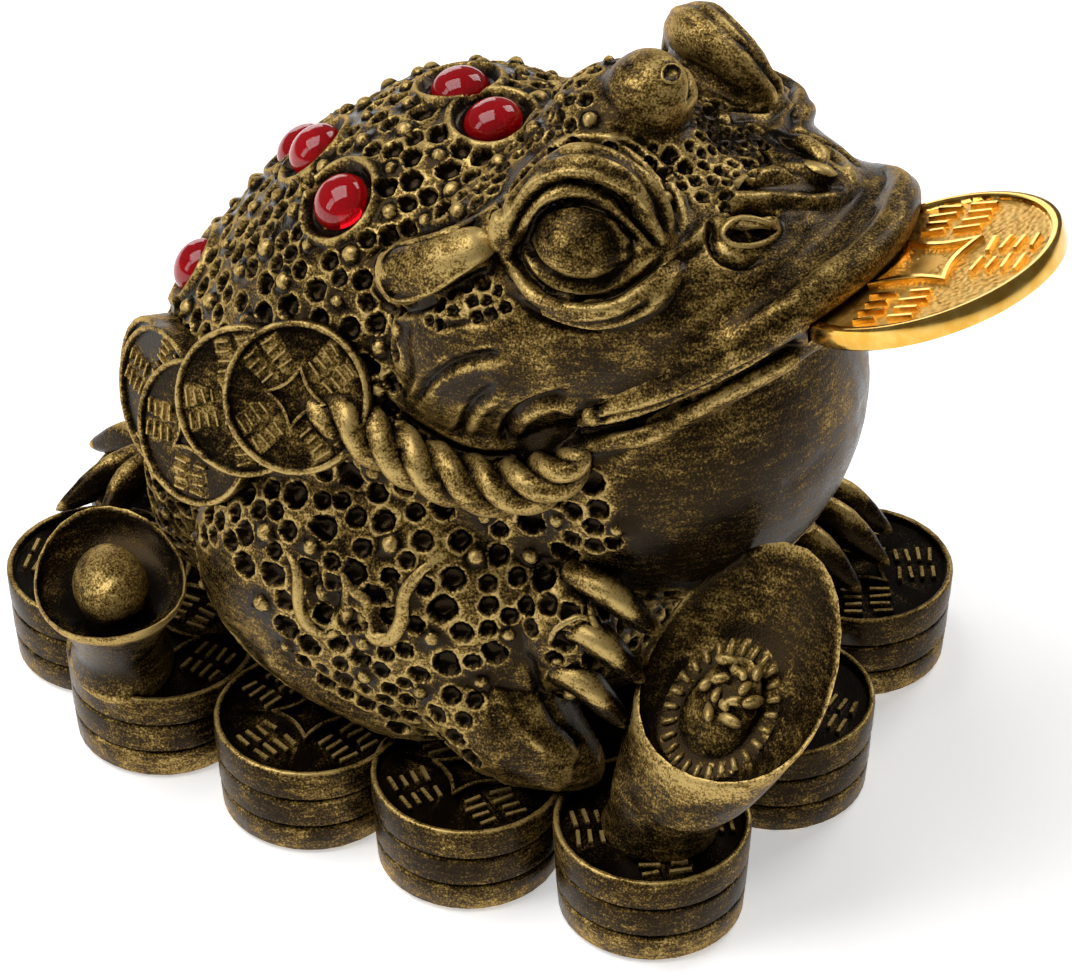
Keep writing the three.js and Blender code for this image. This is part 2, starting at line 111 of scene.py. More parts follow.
# How far apart pits and warts lie, and the wall that stays between two pits
PIT_SPACING = 3.5
PIT_SPACING_LOW = 2.9
PIT_SPACING_HEAD = 2.4
PIT_SPACING_TEMPLE = 1.9
PIT_SPACING_FOREHEAD = 2.1
WART_SPACING_BACK = 5.8
WART_SPACING_LEGS = 13.0
PIT_WALL = 0.3

# The collar round each gem: how far from its middle pits end, the skin starts to sink and its ring stands,
# and how much it sinks and rises
PITS_END = 7.2
SINK_EDGE = (5.0, 5.6)
COLLAR_RADIUS = 5.9
COLLAR_WIDTH = 0.6
COLLAR_RISE = 0.9

# Tones of the paint, from 0, bare dark paint, to 1, brushed gold
SKIN_TONE = 0.45
FEET_TONE = 0.42
EYEBALL_TONE = 0.24
PIT_GROUND = 0.52
WART_TONE = 0.62
HOLLOW_TONE = 0.1
BED_SIDE_TONE = 0.28
BED_FACE_TONE = 0.54
BED_RIM_TONE = 0.72
INGOT_TONE = 0.46
INGOT_RIM_TONE = 0.85

# Wear: the edge length up to which it is read as measured, then its gain, its limit and its rounds of
# evening, once for fine edges and once for broad forms
WEAR_EDGE = 0.62
WEAR_FINE = (2.6, 0.2, 4)
WEAR_BROAD = (0.5, 0.6, 24)

# How far from its ends a carved fold dies away, in pixels of the photograph, the longest step between two
# points of a drawn ridge, and how deep a ridge sinks, as a share of its radius
FOLD_FADE = 14
RIDGE_STEP = 8
RIDGE_SINK = 0.2

# Patterns in the finishes, as how many fit in a metre: specks of gold about 0.3 mm across, brush streaks
# about 0.8 mm wide, patches of 8 mm, haze of 2.4 mm on the gilding and waves of 3.3 mm in the glass
SPECKS = 3200
STREAKS = 1300
PATCHES = 120
HAZE = 420
WAVES = 300

# The resin's paint, from the bare hollows to the brightest brushed edge
RESIN_TONES = ((0.0, "#030202"), (0.22, "#0b0704"), (0.4, "#1d1508"), (0.54, "#3b2c13"), (0.68, "#655027"),
               (0.84, "#937840"), (1.0, "#c3a768"))


# Reading the photograph's frame

def photo_axes():
    forward = np.array(CAMERA_FORWARD) / np.linalg.norm(CAMERA_FORWARD)
    right = np.cross(forward, (0, 0, 1))
    right /= np.linalg.norm(right)
    return right, np.cross(right, forward), forward


def photo_place(points):
    """The photograph's pixel that each point shows at"""
    right, up, forward = photo_axes()
    away = points - np.array(CAMERA_PLACE)
    depth = away @ forward
    u = PHOTO_WIDTH / 2 + FOCAL_PIXELS * (away @ right) / depth
    v = PHOTO_HEIGHT / 2 - FOCAL_PIXELS * (away @ up) / depth
    return np.stack([u, v], 1)


# Small helpers for meshes

def deselect():
    bpy.ops.object.select_all(action="DESELECT")


def choose(piece):
    deselect()
    piece.select_set(True)
    bpy.context.view_layer.objects.active = piece


def places_of(piece):
    flat = np.empty(len(piece.data.vertices) * 3)
    piece.data.vertices.foreach_get("co", flat)
    return flat.reshape(-1, 3)


def move_to(piece, places):
    piece.data.vertices.foreach_set("co", np.ascontiguousarray(places).ravel())
    piece.data.update()


def normals_of(piece):
    flat = np.empty(len(piece.data.vertices) * 3)
    piece.data.vertices.foreach_get("normal", flat)
    return flat.reshape(-1, 3)


def edges_of(piece):
    flat = np.empty(len(piece.data.edges) * 2, dtype=np.int64)
    piece.data.edges.foreach_get("vertices", flat)
    return flat.reshape(-1, 2)


def write_attribute(piece, name, values):
    """Keeps one value per vertex under a name that a material reads"""
    attribute = piece.data.attributes.new(name, "FLOAT", "POINT")
    attribute.data.foreach_set("value", values.astype(np.float32))


def lengths(ways):
    return np.linalg.norm(ways, axis=1)


def from_axis(places):
    """How far each place is from the Z axis"""
    return np.hypot(places[:, 0], places[:, 1])


def search_tree(points):
    tree = KDTree(len(points))
    for k, p in enumerate(points):
        tree.insert(p, k)
    tree.balance()
    return tree


def apply_modifier(piece, kind, **settings):
    choose(piece)
    modifier = piece.modifiers.new(kind.lower(), kind)
    for key, value in settings.items():
        setattr(modifier, key, value)
    bpy.ops.object.modifier_apply(modifier=modifier.name)


def joined(pieces, name):
    deselect()
    for piece in pieces:
        piece.select_set(True)
    bpy.context.view_layer.objects.active = pieces[0]
    if len(pieces) > 1:
        bpy.ops.object.join()
    pieces[0].name = name
    return pieces[0]


def face_outwards(piece):
    choose(piece)
    bpy.ops.object.mode_set(mode="EDIT")
    bpy.ops.mesh.select_all(action="SELECT")
    bpy.ops.mesh.remove_doubles(threshold=0.001)
    bpy.ops.mesh.normals_make_consistent(inside=False)
    bpy.ops.object.mode_set(mode="OBJECT")


def united(first, others):
    """One closed skin out of pieces that run into each other"""
    for other in others:
        apply_modifier(first, "BOOLEAN", operation="UNION", solver="MANIFOLD", object=other)
        bpy.data.objects.remove(other)
    return first


def turn_matrix(degrees):
    x, y, z = (math.radians(a) for a in degrees)
    return np.array(Matrix.Rotation(x, 3, "X") @ Matrix.Rotation(y, 3, "Y") @ Matrix.Rotation(z, 3, "Z"))


def ball(name="lump", segments=40, rings=24):
    deselect()
    bpy.ops.mesh.primitive_uv_sphere_add(segments=segments, ring_count=rings, radius=1)
    piece = bpy.context.active_object
    piece.name = name
    return piece


def down_share(unit):
    """From 0 at the top of a unit ball to 1 at its bottom"""
    return np.arccos(np.clip(unit[:, 2], -1, 1)) / np.pi


def cube(name):
    deselect()
    bpy.ops.mesh.primitive_cube_add(size=1)
    piece = bpy.context.active_object
    piece.name = name
    return piece


def lump(at, half, turn=(0, 0, 0), name="lump"):
    """A rounded lump with three half sizes"""
    piece = ball(name)
    move_to(piece, (places_of(piece) * half) @ turn_matrix(turn).T + at)
    return piece


def smooth_path(points, count):
    """A smooth path through points, evenly spaced"""
    points = np.array(points, float)
    ends = np.vstack([2 * points[0] - points[1], points, 2 * points[-1] - points[-2]])
    dense = []
    for i in range(1, len(ends) - 2):
        a, b, c, d = ends[i - 1:i + 3]
        for t in np.linspace(0, 1, 12, endpoint=False):
            dense.append(between(a, b, c, d, t))
    dense.append(points[-1])
    dense = np.array(dense)
    run = np.concatenate([[0], np.cumsum(lengths(np.diff(dense, axis=0)))])
    even = np.linspace(0, run[-1], count)
    return np.stack([np.interp(even, run, dense[:, k]) for k in range(points.shape[1])], 1)


def path_frames(path, outward):
    """Along a path, the direction, the side and the outward way, for sections"""
    ahead = np.gradient(path, axis=0)
    ahead /= np.linalg.norm(ahead, axis=1, keepdims=True)
    side = np.cross(ahead, outward)
    side /= np.linalg.norm(side, axis=1, keepdims=True)
    return side, np.cross(side, ahead)


def limb(points, radii, outward=(0, 0, 1), section=None, rings=40, sides=28, name="limb"):
    """A rounded limb along a path, its radius changing along it.
    section(angle, share) scales the radius round the limb, angle 0 facing outward."""
    path = smooth_path(points, PATH_STEPS)
    side, out = path_frames(path, np.array(outward, float))
    piece = ball(name, sides, rings)
    unit = places_of(piece)
    share = down_share(unit)
    angle = np.arctan2(unit[:, 0], unit[:, 1])
    cap = np.clip(np.minimum(share, 1 - share) / 0.12, 0, 1)
    radius = np.interp(share, np.linspace(0, 1, len(radii)), radii) * np.sqrt(1 - (1 - cap) ** 2)
    if section:
        radius = radius * section(angle, share)
    step = share * (len(path) - 1)
    at = np.stack([np.interp(step, np.arange(len(path)), path[:, k]) for k in range(3)], 1)
    near = np.clip(np.rint(step).astype(int), 0, len(path) - 1)
    move_to(piece, at + out[near] * (radius * np.cos(angle))[:, None]
            + side[near] * (radius * np.sin(angle))[:, None])
    face_outwards(piece)
    return piece


def lofted(stations, squareness, name):
    """A body lofted along Y from stations of y, half width, top and bottom"""
    piece = ball(name, 64, 48)
    unit = places_of(piece)
    share = down_share(unit)
    angle = np.arctan2(unit[:, 1], unit[:, 0])
    spots = np.linspace(0, 1, len(stations))
    run = np.interp(share, spots, np.arange(len(stations)))
    dense = np.linspace(0, len(stations) - 1, STATION_STEPS)
    y, half, top, bottom = (np.interp(run, dense, spline_values(stations, k)) for k in range(4))
    open_end = from_axis(unit) > 1e-6
    across = np.sign(np.cos(angle)) * np.abs(np.cos(angle)) ** (2 / squareness)
    upward = np.sign(np.sin(angle)) * np.abs(np.sin(angle)) ** (2 / squareness)
    move_to(piece, np.stack([open_end * across * half, y,
                             (top + bottom) / 2 + open_end * upward * (top - bottom) / 2], 1))
    face_outwards(piece)
    return piece


def spline_values(stations, key):
    """One value of the stations on a smooth curve, at evenly spaced places"""
    values = np.array([station[key] for station in stations], float)
    ends = np.concatenate([[2 * values[0] - values[1]], values, [2 * values[-1] - values[-2]]])
    at = np.linspace(0, len(values) - 1, STATION_STEPS)
    i = np.minimum(at.astype(int), len(values) - 2)
    t = at - i
    a, b, c, d = ends[i], ends[i + 1], ends[i + 2], ends[i + 3]
    return between(a, b, c, d, t)


def between(a, b, c, d, t):
    """The smooth curve's place from b at t = 0 to c at t = 1"""
    return 0.5 * (2 * b + (c - a) * t + (2 * a - 5 * b + 4 * c - d) * t ** 2
                  + (3 * b - a - 3 * c + d) * t ** 3)


def turned(profile, segments, name):
    """A solid of revolution about Z from radius and height pairs that start and end on the axis"""
    rows = len(profile) - 1
    piece = ball(name, segments, rows)
    unit = places_of(piece)
    row = np.rint(down_share(unit) * rows).astype(int)
    angle = np.arctan2(unit[:, 1], unit[:, 0])
    radius, height = np.array(profile, float)[::-1][row].T
    move_to(piece, np.stack([radius * np.cos(angle), radius * np.sin(angle), height], 1))
    face_outwards(piece)
    return piece


def bar(middle, angle, length, width, low, high):
    """A short raised stroke, narrower at its top"""
    piece = cube("stroke")
    places = places_of(piece)
    top = places[:, 2] > 0
    places = places * (length, width, high - low) * np.where(top[:, None], (0.88, 0.6, 1), (1, 1, 1))
    move_to(piece, places @ turn_matrix((0, 0, angle)).T + (middle[0], middle[1], (low + high) / 2))
    return piece


def place(piece, at, facing=None, turn=(0, 0, 0)):
    """Lays a piece's own +Z along a direction, or turns it, and puts it at a place"""
    matrix = turn_matrix(turn)
    if facing is not None:
        matrix = np.array(Vector((0, 0, 1)).rotation_difference(Vector(facing)).to_matrix()) @ matrix
    move_to(piece, places_of(piece) @ matrix.T + at)
    return piece


# Tone: how much old gold the brush left on each place, from 0, bare dark paint, to 1; on the toad's skin it
# also carries painted top light and a painted sheen on the throat.
# Each source piece leaves its places and tones here, and the finished skin reads the nearest.
TONES = []


def tone(piece, value):
    """Notes a piece's tone, one value or one per vertex"""
    places = places_of(piece)
    TONES.append((places, np.broadcast_to(np.asarray(value, float), len(places)).copy()))
    return piece


# Coins of the bed

def square_ring(half, width, low, high):
    """The raised frame of a square hole, its sides drawn in a little between the corners"""
    draw_in = 0.2 * half
    steps = 6
    outline = []
    for k in range(4 * steps):
        corner = np.pi / 4 + (k // steps) * np.pi / 2
        share = (k % steps) / steps
        a = np.array([math.cos(corner), math.sin(corner)]) * half * math.sqrt(2)
        b = np.array([math.cos(corner + np.pi / 2), math.sin(corner + np.pi / 2)]) * half * math.sqrt(2)
        middle = (a + b) / 2
        inward = middle / np.linalg.norm(middle) * draw_in * math.sin(np.pi * share)
        outline.append(a + (b - a) * share - inward)
    outline = np.array(outline)
    inner = outline * (1 - width / half)
    chamfer = min(0.15, (high - low) * 0.3)
    rings = [(outline, low), (outline, high - chamfer), (outline * 0.985, high), (inner * 1.015, high),
             (inner, high - chamfer), (inner, low)]
    deselect()
    bpy.ops.mesh.primitive_torus_add(major_segments=4 * steps, minor_segments=len(rings))
    piece = bpy.context.active_object
    piece.name = "square_ring"
    levels = [np.column_stack([ring, np.full(len(ring), z)]) for ring, z in rings]
    move_to(piece, np.stack(levels, 1).reshape(-1, 3))
    face_outwards(piece)
    return piece


def stroke_groups(radius, hole, low, high, width, spin=0):
    """Four patches of short plain strokes in rows round the hole, in place of an inscription"""
    rng = np.random.default_rng(SEED + spin)
    middle = (radius + hole) / 2
    reach = radius - hole
    strokes = []
    for quarter in range(4):
        turn = 90 * quarter + 4
        cosine, sine = math.cos(math.radians(turn)), math.sin(math.radians(turn))
        for row in (-1.5, -0.5, 0.5, 1.5):
            for column in (-0.5, 0.5):
                x = middle + row * reach * 0.2
                y = (column + rng.uniform(-0.06, 0.06)) * reach * 0.5
                spot = (x * cosine - y * sine, x * sine + y * cosine)
                length = reach * rng.uniform(0.3, 0.42)
                strokes.append(bar(spot, turn + 90 + rng.uniform(-7, 7), length, width, low, high))
    return strokes


def bed_stack(x, y, spin):
    """Three coins, with thin grooves between them, a raised rim and a square frame on the sunk face"""
    r = BED_RADIUS
    profile = [(0, 0), (r - 1.5, 0), (r - 0.75, 0.8)]
    for k in range(1, BED_COINS):
        joint = k * BED_COIN_THICKNESS
        out = r - 0.25 * (BED_COINS - k)
        profile += [(out, joint - 0.7), (out - 0.1, joint - 0.3), (out - 0.55, joint - 0.12),
                    (out - 0.55, joint + 0.12), (out + 0.1, joint + 0.4)]
    profile += [(r, BED_TOP - 1.0), (r, BED_TOP - 0.35), (r - 0.2, BED_TOP), (r - 0.7, BED_TOP),
                (r - 1.0, BED_TOP - 0.3), (r - 1.15, BED_FACE), (r * 0.5, BED_FACE), (0, BED_FACE)]
    stack = turned(profile, 72, "stack")
    places = places_of(stack)
    height = places[:, 2]
    radius = from_axis(places)
    value = np.where(radius > r - 1.35, BED_SIDE_TONE, BED_FACE_TONE)
    value[(radius < r - 0.9) & (radius > r - 1.3) & (height > BED_FACE - 0.5)] = HOLLOW_TONE
    for k in range(1, BED_COINS):
        value[np.abs(height - k * BED_COIN_THICKNESS) < 0.2] = 0.0
    value[(radius > r - 0.8) & (height > BED_TOP - 0.1)] = BED_RIM_TONE
    tops = BED_FACE + 0.8
    low = BED_FACE - 0.5
    marks = joined([square_ring(BED_FRAME_HALF, 0.7, low, tops)]
                   + stroke_groups(r - BED_RIM, BED_FRAME_HALF, low, tops - 0.15, 0.8, spin), "marks")
    place(marks, (0, 0, 0), turn=(0, 0, spin))
    placed_tone(stack, value, (x, y, 0))
    placed_tone(marks, np.where(places_of(marks)[:, 2] > BED_FACE + 0.2, 0.6, 0.15), (x, y, 0))
    return united(stack, [marks])


def placed_tone(piece, value, at):
    move_to(piece, places_of(piece) + at)
    tone(piece, value)


def bed():
    spots = list(MIDDLE_STACKS) + [(s * x, y) for s in (1, -1) for x, y in SIDE_STACKS]
    stacks = [bed_stack(x, y, 17 * i) for i, (x, y) in enumerate(spots)]
    rows = [y for _, y in SIDE_STACKS]
    width = -SIDE_STACKS[2][0] * 1.25
    slab = cube("slab")
    move_to(slab, places_of(slab) * (width, max(rows) - min(rows), BED_FACE)
            + (0, (max(rows) + min(rows)) / 2, BED_FACE / 2))
    tone(slab, 0.05)
    return united(slab, stacks)


# Ingots

def ingot(at, turn, size, side, inside, bowl_tone, climb=(0, 0), lean=(0, 0)):
    """A boat-shaped ingot: a foot with a thin plinth, and an oval bowl whose rim rises at both ends"""
    rim_profile = [(0.97, 0.94), (1.0, 0.985), (0.99, 1.015), (0.965, 1.015), (0.945, 0.98)]
    profile = [(0, 0)] + side + rim_profile + inside
    piece = turned(profile, 96, "ingot")
    shape = places_of(piece)
    shape[:, 2] += 0.24 * shape[:, 0] ** 2 * np.maximum(0, shape[:, 2] - 0.4)
    rim = from_axis(shape)
    value = np.where((rim > 0.95) & (shape[:, 2] > 0.95), INGOT_RIM_TONE, INGOT_TONE)
    value[(rim < 0.94) & (shape[:, 2] > 0.7)] = bowl_tone
    value[(rim > 0.38) & (rim < 0.64) & (shape[:, 2] > 0.7) & (shape[:, 2] < 0.95)] = 0.12
    move_to(piece, climbing(shape * (size[0] / 2, size[1] / 2, size[2]), size[2], climb, lean))
    place(piece, at, turn=turn)
    return tone(piece, value)


def climbing(shape, height, climb, lean):
    """Raises what is above the foot in proportion to its place, so that a rim climbs, and leans it over"""
    share = np.clip((shape[:, 2] / height - 0.25) / 0.5, 0, 1)
    share = share * share * (3 - 2 * share)
    rise = share * (climb[0] * shape[:, 0] + climb[1] * shape[:, 1])
    return np.stack([shape[:, 0] + lean[0] * shape[:, 2], shape[:, 1] + lean[1] * shape[:, 2],
                     shape[:, 2] + rise], 1)


def rear_ingot():
    side = [(0.66, 0), (0.69, 0.04), (0.68, 0.1), (0.6, 0.24), (0.61, 0.4), (0.68, 0.56), (0.78, 0.74),
            (0.9, 0.88)]
    knob = [(0.88, 0.92), (0.76, 0.87), (0.6, 0.84), (0.48, 0.85), (0.5, 0.93), (0.5, 1.0), (0.46, 1.08),
            (0.38, 1.16), (0.26, 1.22), (0.13, 1.25), (0, 1.26)]
    return ingot((-38, 36, BED_FACE), (0, -6, 43), (27, 21, 15), side, knob, 0.5)


FRONT_INGOT = {"at": (-32, -46, BED_FACE), "size": (25, 27, 25),
               "climb": (0.9, -0.12), "lean": (0.19, -0.34)}


def front_ingot():
    """The rim climbs to the chest, and a ring of short rays lies round a carved boss"""
    side = [(0.56, 0), (0.59, 0.03), (0.58, 0.08), (0.6, 0.16), (0.68, 0.3), (0.77, 0.48), (0.86, 0.66),
            (0.93, 0.82)]
    bowl = [(0.88, 0.93), (0.78, 0.87), (0.7, 0.84), (0.6, 0.81), (0.5, 0.8), (0.4, 0.8), (0.37, 0.81),
            (0.34, 0.9), (0.28, 0.95), (0.16, 0.98), (0, 0.985)]
    at, size, climb, lean = FRONT_INGOT.values()
    made = ingot(at, (0, 0, 0), size, side, bowl, 0.54, climb, lean)
    rays = [tapered_ray(2 * math.pi * k / RAY_COUNT, 0.44, 0.6) for k in range(RAY_COUNT)]
    return united(made, rays + boss_leaves())


def boss_leaves():
    """A knotted boss of small leaves, with holes between them"""
    rng = np.random.default_rng(SEED)
    made = []
    for k in range(LEAF_COUNT):
        turn = 2 * math.pi * (k + 0.3) / LEAF_COUNT
        reach = 0.26 if k % 2 else 0.14
        spot = bowl_place(reach * math.cos(turn), reach * math.sin(turn), 0.97)
        half = (1.5 * rng.uniform(0.8, 1.3), 0.75, 1.0)
        leaf = ball("leaf", 14, 8)
        move_to(leaf, (places_of(leaf) * half) @ turn_matrix((0, 0, math.degrees(turn) + 60)).T + spot)
        made.append(tone(leaf, 0.62))
    return made


def bowl_place(x, y, z):
    """A point of the front ingot's bowl, from shares of its half length, half width and height"""
    at, size, climb, lean = FRONT_INGOT.values()
    shape = np.array([[x * size[0] / 2, y * size[1] / 2, z * size[2]]])
    return climbing(shape, size[2], climb, lean)[0] + at


def tapered_ray(turn, near, far):
    shares = (near, (near + far) / 2, far)
    ends = [bowl_place(share * math.cos(turn), share * math.sin(turn), 0.825) for share in shares]
    return tone(limb(ends, [0.35, 0.5, 0.55], rings=6, sides=6, name="ray"), 0.75)


# Coins hung on the flanks

def string_coin(radius, turn_deg):
    """A coin with a thin raised rim, its face filled with fine strokes round a square frame"""
    t = 4.0
    profile = [(0, -t), (radius - 0.3, -t), (radius, -t + 0.3), (radius, -0.3), (radius - 0.15, -0.05),
               (radius - 0.35, 0), (radius - 0.75, -0.08), (radius - 0.95, -0.65), (radius * 0.5, -0.65),
               (0, -0.65)]
    coin = turned(profile, 72, "string_coin")
    places = places_of(coin)
    away = from_axis(places)
    value = np.where((places[:, 2] > -0.2), 0.82, np.where(away > radius - 0.6, 0.4, 0.46))
    marks = joined([square_ring(STRING_FRAME_HALF, 0.55, -1.0, -0.05)]
                   + stroke_groups(radius - 0.7, STRING_FRAME_HALF, -1.0, -0.15, 0.42, turn_deg), "marks")
    place(marks, (0, 0, 0), turn=(0, 0, turn_deg))
    return coin, value, marks


def coin_strings():
    made = []
    for side in (-1, 1):
        for i, (x, y, z, yaw, rise) in enumerate(STRING_COINS):
            coin, value, marks = string_coin(STRING_RADIUS, 20 + 31 * i)
            turn = math.radians(side * yaw)
            facing = np.array([side * math.cos(turn), side * math.sin(turn), math.tan(math.radians(rise))])
            facing /= np.linalg.norm(facing)
            for piece in (coin, marks):
                place(piece, (side * x, y, z), facing)
            tone(coin, value)
            tone(marks, 0.7)
            made.append(united(coin, [marks]))
    return made


def rope_strands(angle, share):
    """Three strands laid together with deep grooves between them"""
    lay = 1.5 * (angle - 2 * math.pi * ROPE_TURNS * share)
    return 0.66 + 0.42 * np.abs(np.cos(lay)) ** 0.75


def ropes(on_flank):
    made = []
    for side in (-1, 1):
        path = [on_flank(side, y, z) + np.array([side * 1.3, 0, 0]) for y, z in ROPE_PLACES]
        radii = [ROPE_RADIUS * share for share in (0.55, 0.95, 1, 1, 1, 0.6)]
        rope = limb(path, radii, (side, 0, 0.3), rope_strands, rings=150, sides=48, name="rope")
        made.append(tone(rope, 0.5))
    return made


# The toad's masses, as stations of y, half width, top and bottom
TRUNK = ((44, 8, 48, 26), (40, 24, 65, 12), (29, 31, 80, 10), (11, 35, 95, 10), (-8, 34, 98, 10),
         (-26, 30, 92, 12), (-36, 20, 70, 20))
HEAD = ((2, 20, 92, 64), (-8, 33, 97, 58), (-22, 34, 102, 61), (-36, 29, 101, 71), (-49, 22, 97, 80),
        (-58, 15, 94, 85))
TEMPLE = ((29.4, -3, 87), (29.4, -7, 89.3), (28.8, -12.5, 92.8), (27.4, -18, 96))
UPPER_LIP = ((-30, -31, 74), (-26, -42, 81), (-18, -54, 90.5), (0, -59.5, 94))
LOWER_LIP = ((-29, -31, 69.5), (-24.5, -42, 75.5), (-16.5, -53, 84.5), (0, -58.5, 87))


def across(half):
    return list(half) + [(-x, y, z) for x, y, z in reversed(half[:-1])]


def mirrored(points, side):
    return [(side * x, y, z) for x, y, z in points]


def head_masses():
    made = [lofted(HEAD, 2.3, "head"), lump((0, -24, 96), (15, 14.5, 9.5), name="forehead"),
            lump((0, -22.5, 101.8), (10, 9.5, 6.3), name="crown_foot"),
            lump((0, -26.3, 106.5), (6.3, 6.3, 5.8), name="crown"),
            limb(across(UPPER_LIP), [1.2, 2.4, 2.4, 2.4, 1.2]),
            limb(across(LOWER_LIP), [1.2, 2.2, 2.2, 2.2, 1.2])]
    brow = ((27, -20, 94), (25, -20.5, 100), (19.5, -26, 105.5), (17.5, -33, 104), (18, -39, 98))
    lid = ((28, -20, 94), (30.5, -26.5, 93), (29, -34.8, 92.6), (24.5, -40, 94.5), (19, -41, 97))
    wing = ((12, -40, 98.2), (10.5, -45.6, 98), (6, -48, 97.8))
    for side in (-1, 1):
        made += [lump((20 * side, -30, 95.5), (6.5, 10.5, 9), (0, 0, -14 * side), "mound"),
                 lump(mirrored([EYE_CENTRE], side)[0], (EYEBALL_RADIUS,) * 3, name="eyeball"),
                 limb(mirrored(brow, side), [1.2, 2.3, 3.9, 3, 1.2], name="brow"),
                 limb(mirrored(lid, side), [1, 1.7, 2, 1.7, 1], name="lid"),
                 limb(mirrored(TEMPLE, side), [2.7, 2.9, 2.9, 2.2], name="temple"),
                 limb(mirrored(wing, side), [1, 1.5, 1], name="wing")]
    return made


def body_masses():
    made = [lofted(TRUNK, 2.1, "trunk"), lump((0, -28, 61), (30, 28, 30), (14, 0, 0), "throat"),
            lump((-29, -30, 40), (6, 7, 10), name="palm"), lump((29, -30, 24), (7, 8, 8), name="palm"),
            limb(((0, 34, 42), (0, 42, 30), (0, 48, 21), (0, 54, 17)), [12, 11, 8, 4], (0, 1, 0.2),
                 name="shank")]
    for side in (-1, 1):
        shin = mirrored(((30, -14, 30), (31, -26, 22), (29, -36, 16)), side)
        made += [lump((26 * side, -4, 36), (16, 31, 24), (0, 0, -8 * side), "foreleg"),
                 limb(shin, [10, 9, 2.5], name="shin")]
    return made


def toad_skin():
    """All the masses grown into one even skin, its joins smoothed as in soft clay"""
    skin = joined(body_masses() + head_masses(), "skin")
    apply_modifier(skin, "REMESH", mode="VOXEL", voxel_size=VOXEL)
    apply_modifier(skin, "SMOOTH", factor=0.5, iterations=12)
    return skin


# Carving drawn on the photograph. Each fold is a line of pixels over the toad's right side, with its
# half width in pixels and its rise in millimetres, less than zero for a groove. The left side gets the
# mirror image of the same carving.
EYE_FOLDS = (
    (((506, 243), (507, 215), (512, 196), (522, 178), (540, 158), (560, 143), (580, 136), (602, 137),
      (620, 143), (638, 157), (650, 170), (662, 188), (668, 210), (671, 236)), 5, 0.6),
    (((600, 133), (628, 142), (646, 154), (662, 170), (674, 190), (681, 206), (684, 224), (677, 242)), 4,
      0.6),
    (((612, 136), (632, 147), (650, 162), (664, 181), (673, 203), (676, 232)), 3.4, -1),
    (((608, 125), (634, 136), (654, 150), (671, 168), (685, 190), (692, 212)), 4.25, -0.48),
    (((546, 158), (560, 152), (578, 149), (602, 152), (626, 162), (642, 177), (654, 196), (662, 216),
      (666, 236)), 5.1, -0.64),
    (((511, 232), (514, 214), (522, 199), (536, 182), (556, 174), (576, 172), (598, 176), (618, 184),
      (634, 194), (646, 208), (654, 224), (664, 244)), 6, 0.83),
    (((510, 242), (516, 224), (525, 207), (540, 192), (560, 184), (580, 184), (600, 190), (618, 200),
      (631, 212), (643, 227), (660, 248)), 4.25, -1.3),
    (((606, 202), (628, 217), (644, 236)), 5.95, -0.72),
    (((523, 236), (530, 217), (541, 203), (555, 196), (574, 193), (594, 196), (610, 204), (626, 217),
      (643, 236)), 5, 0.45),
    (((528, 240), (534, 222), (546, 210), (562, 204), (580, 203), (598, 208), (614, 217), (630, 233),
      (645, 250)), 3.82, -1.1),
    (((618, 220), (633, 240), (626, 260)), 6.8, -0.96),
    (((528, 240), (536, 260), (550, 273), (570, 282), (590, 283), (610, 277), (626, 264), (640, 250)),
      3.82, -1),
    (((524, 246), (534, 267), (548, 281), (568, 290), (586, 292), (610, 288), (630, 275), (646, 261),
      (660, 247)), 5, 0.68),
    (((513, 244), (524, 264), (536, 279), (552, 292), (570, 298), (592, 300)), 3.4, -0.96),
    (((586, 300), (615, 296), (642, 279)), 3.4, -0.4),
    (((504, 252), (514, 274), (530, 293), (550, 304), (572, 309), (594, 310), (618, 305), (640, 291),
      (658, 274), (672, 253)), 7, 0.75),
    (((502, 264), (514, 291), (530, 310), (550, 322), (574, 328), (602, 326), (628, 317), (652, 299)),
      5.95, -1),
    (((660, 260), (682, 248), (700, 234), (716, 212)), 5, 0.45),
    (((664, 276), (690, 258), (708, 240)), 5.1, -0.4),
)
TAB_FOLDS = (
    (((370, 266), (378, 250), (396, 237), (445, 224), (480, 208)), 6, -0.8),
    (((372, 284), (386, 307), (414, 309), (440, 299), (470, 281), (496, 268)), 7, -1.0),
)
TAB_RIMS = (
    ((379, 272), (385, 256), (397, 247), (414, 242), (448, 232), (474, 220), (492, 209)),
    ((379, 272), (383, 288), (394, 298), (412, 298), (436, 288), (462, 272), (480, 262)),
)
NOSTRIL_RING = (
    (724, 236), (724, 230), (730, 223), (742, 218), (762, 221), (778, 230), (768, 241), (750, 246),
    (732, 244), (724, 236),
)
NOSE_FOLDS = (
    (NOSTRIL_RING, 5, 0.5),
    (((713, 212), (710, 228), (713, 246), (723, 259), (742, 265), (764, 258)), 6, -1.3),
    (((783, 220), (800, 226), (812, 210)), 8, 0.4),
)
WING_FOLDS = (
    (((722, 196), (734, 188), (750, 180), (775, 175), (805, 172), (840, 176)), 11, 1.2),
    (((720, 205), (740, 201), (765, 199), (790, 200), (815, 202), (845, 196)), 9, 1.1),
    (((726, 194), (742, 190), (764, 187)), 3.5, -1.0),
    (((720, 194), (730, 184), (745, 173), (768, 165), (790, 164)), 4, -0.6),
)
FAR_WING_FOLDS = (
    (((780, 150), (795, 156), (818, 168), (848, 186)), 8, 0.7),
    (((808, 131), (822, 143), (838, 160), (862, 184)), 8, 0.7),
    (((779, 140), (776, 154), (781, 166), (794, 174), (808, 177)), 5, -1.3),
    (((795, 138), (810, 150), (826, 162)), 3.5, -0.9),
    (((817, 126), (830, 134), (842, 142)), 3, -0.6),
)
CROWN_RING = (
    (681, 74), (678, 81), (671, 83), (664, 80), (662, 73), (666, 66), (674, 65), (680, 69), (681, 74),
)
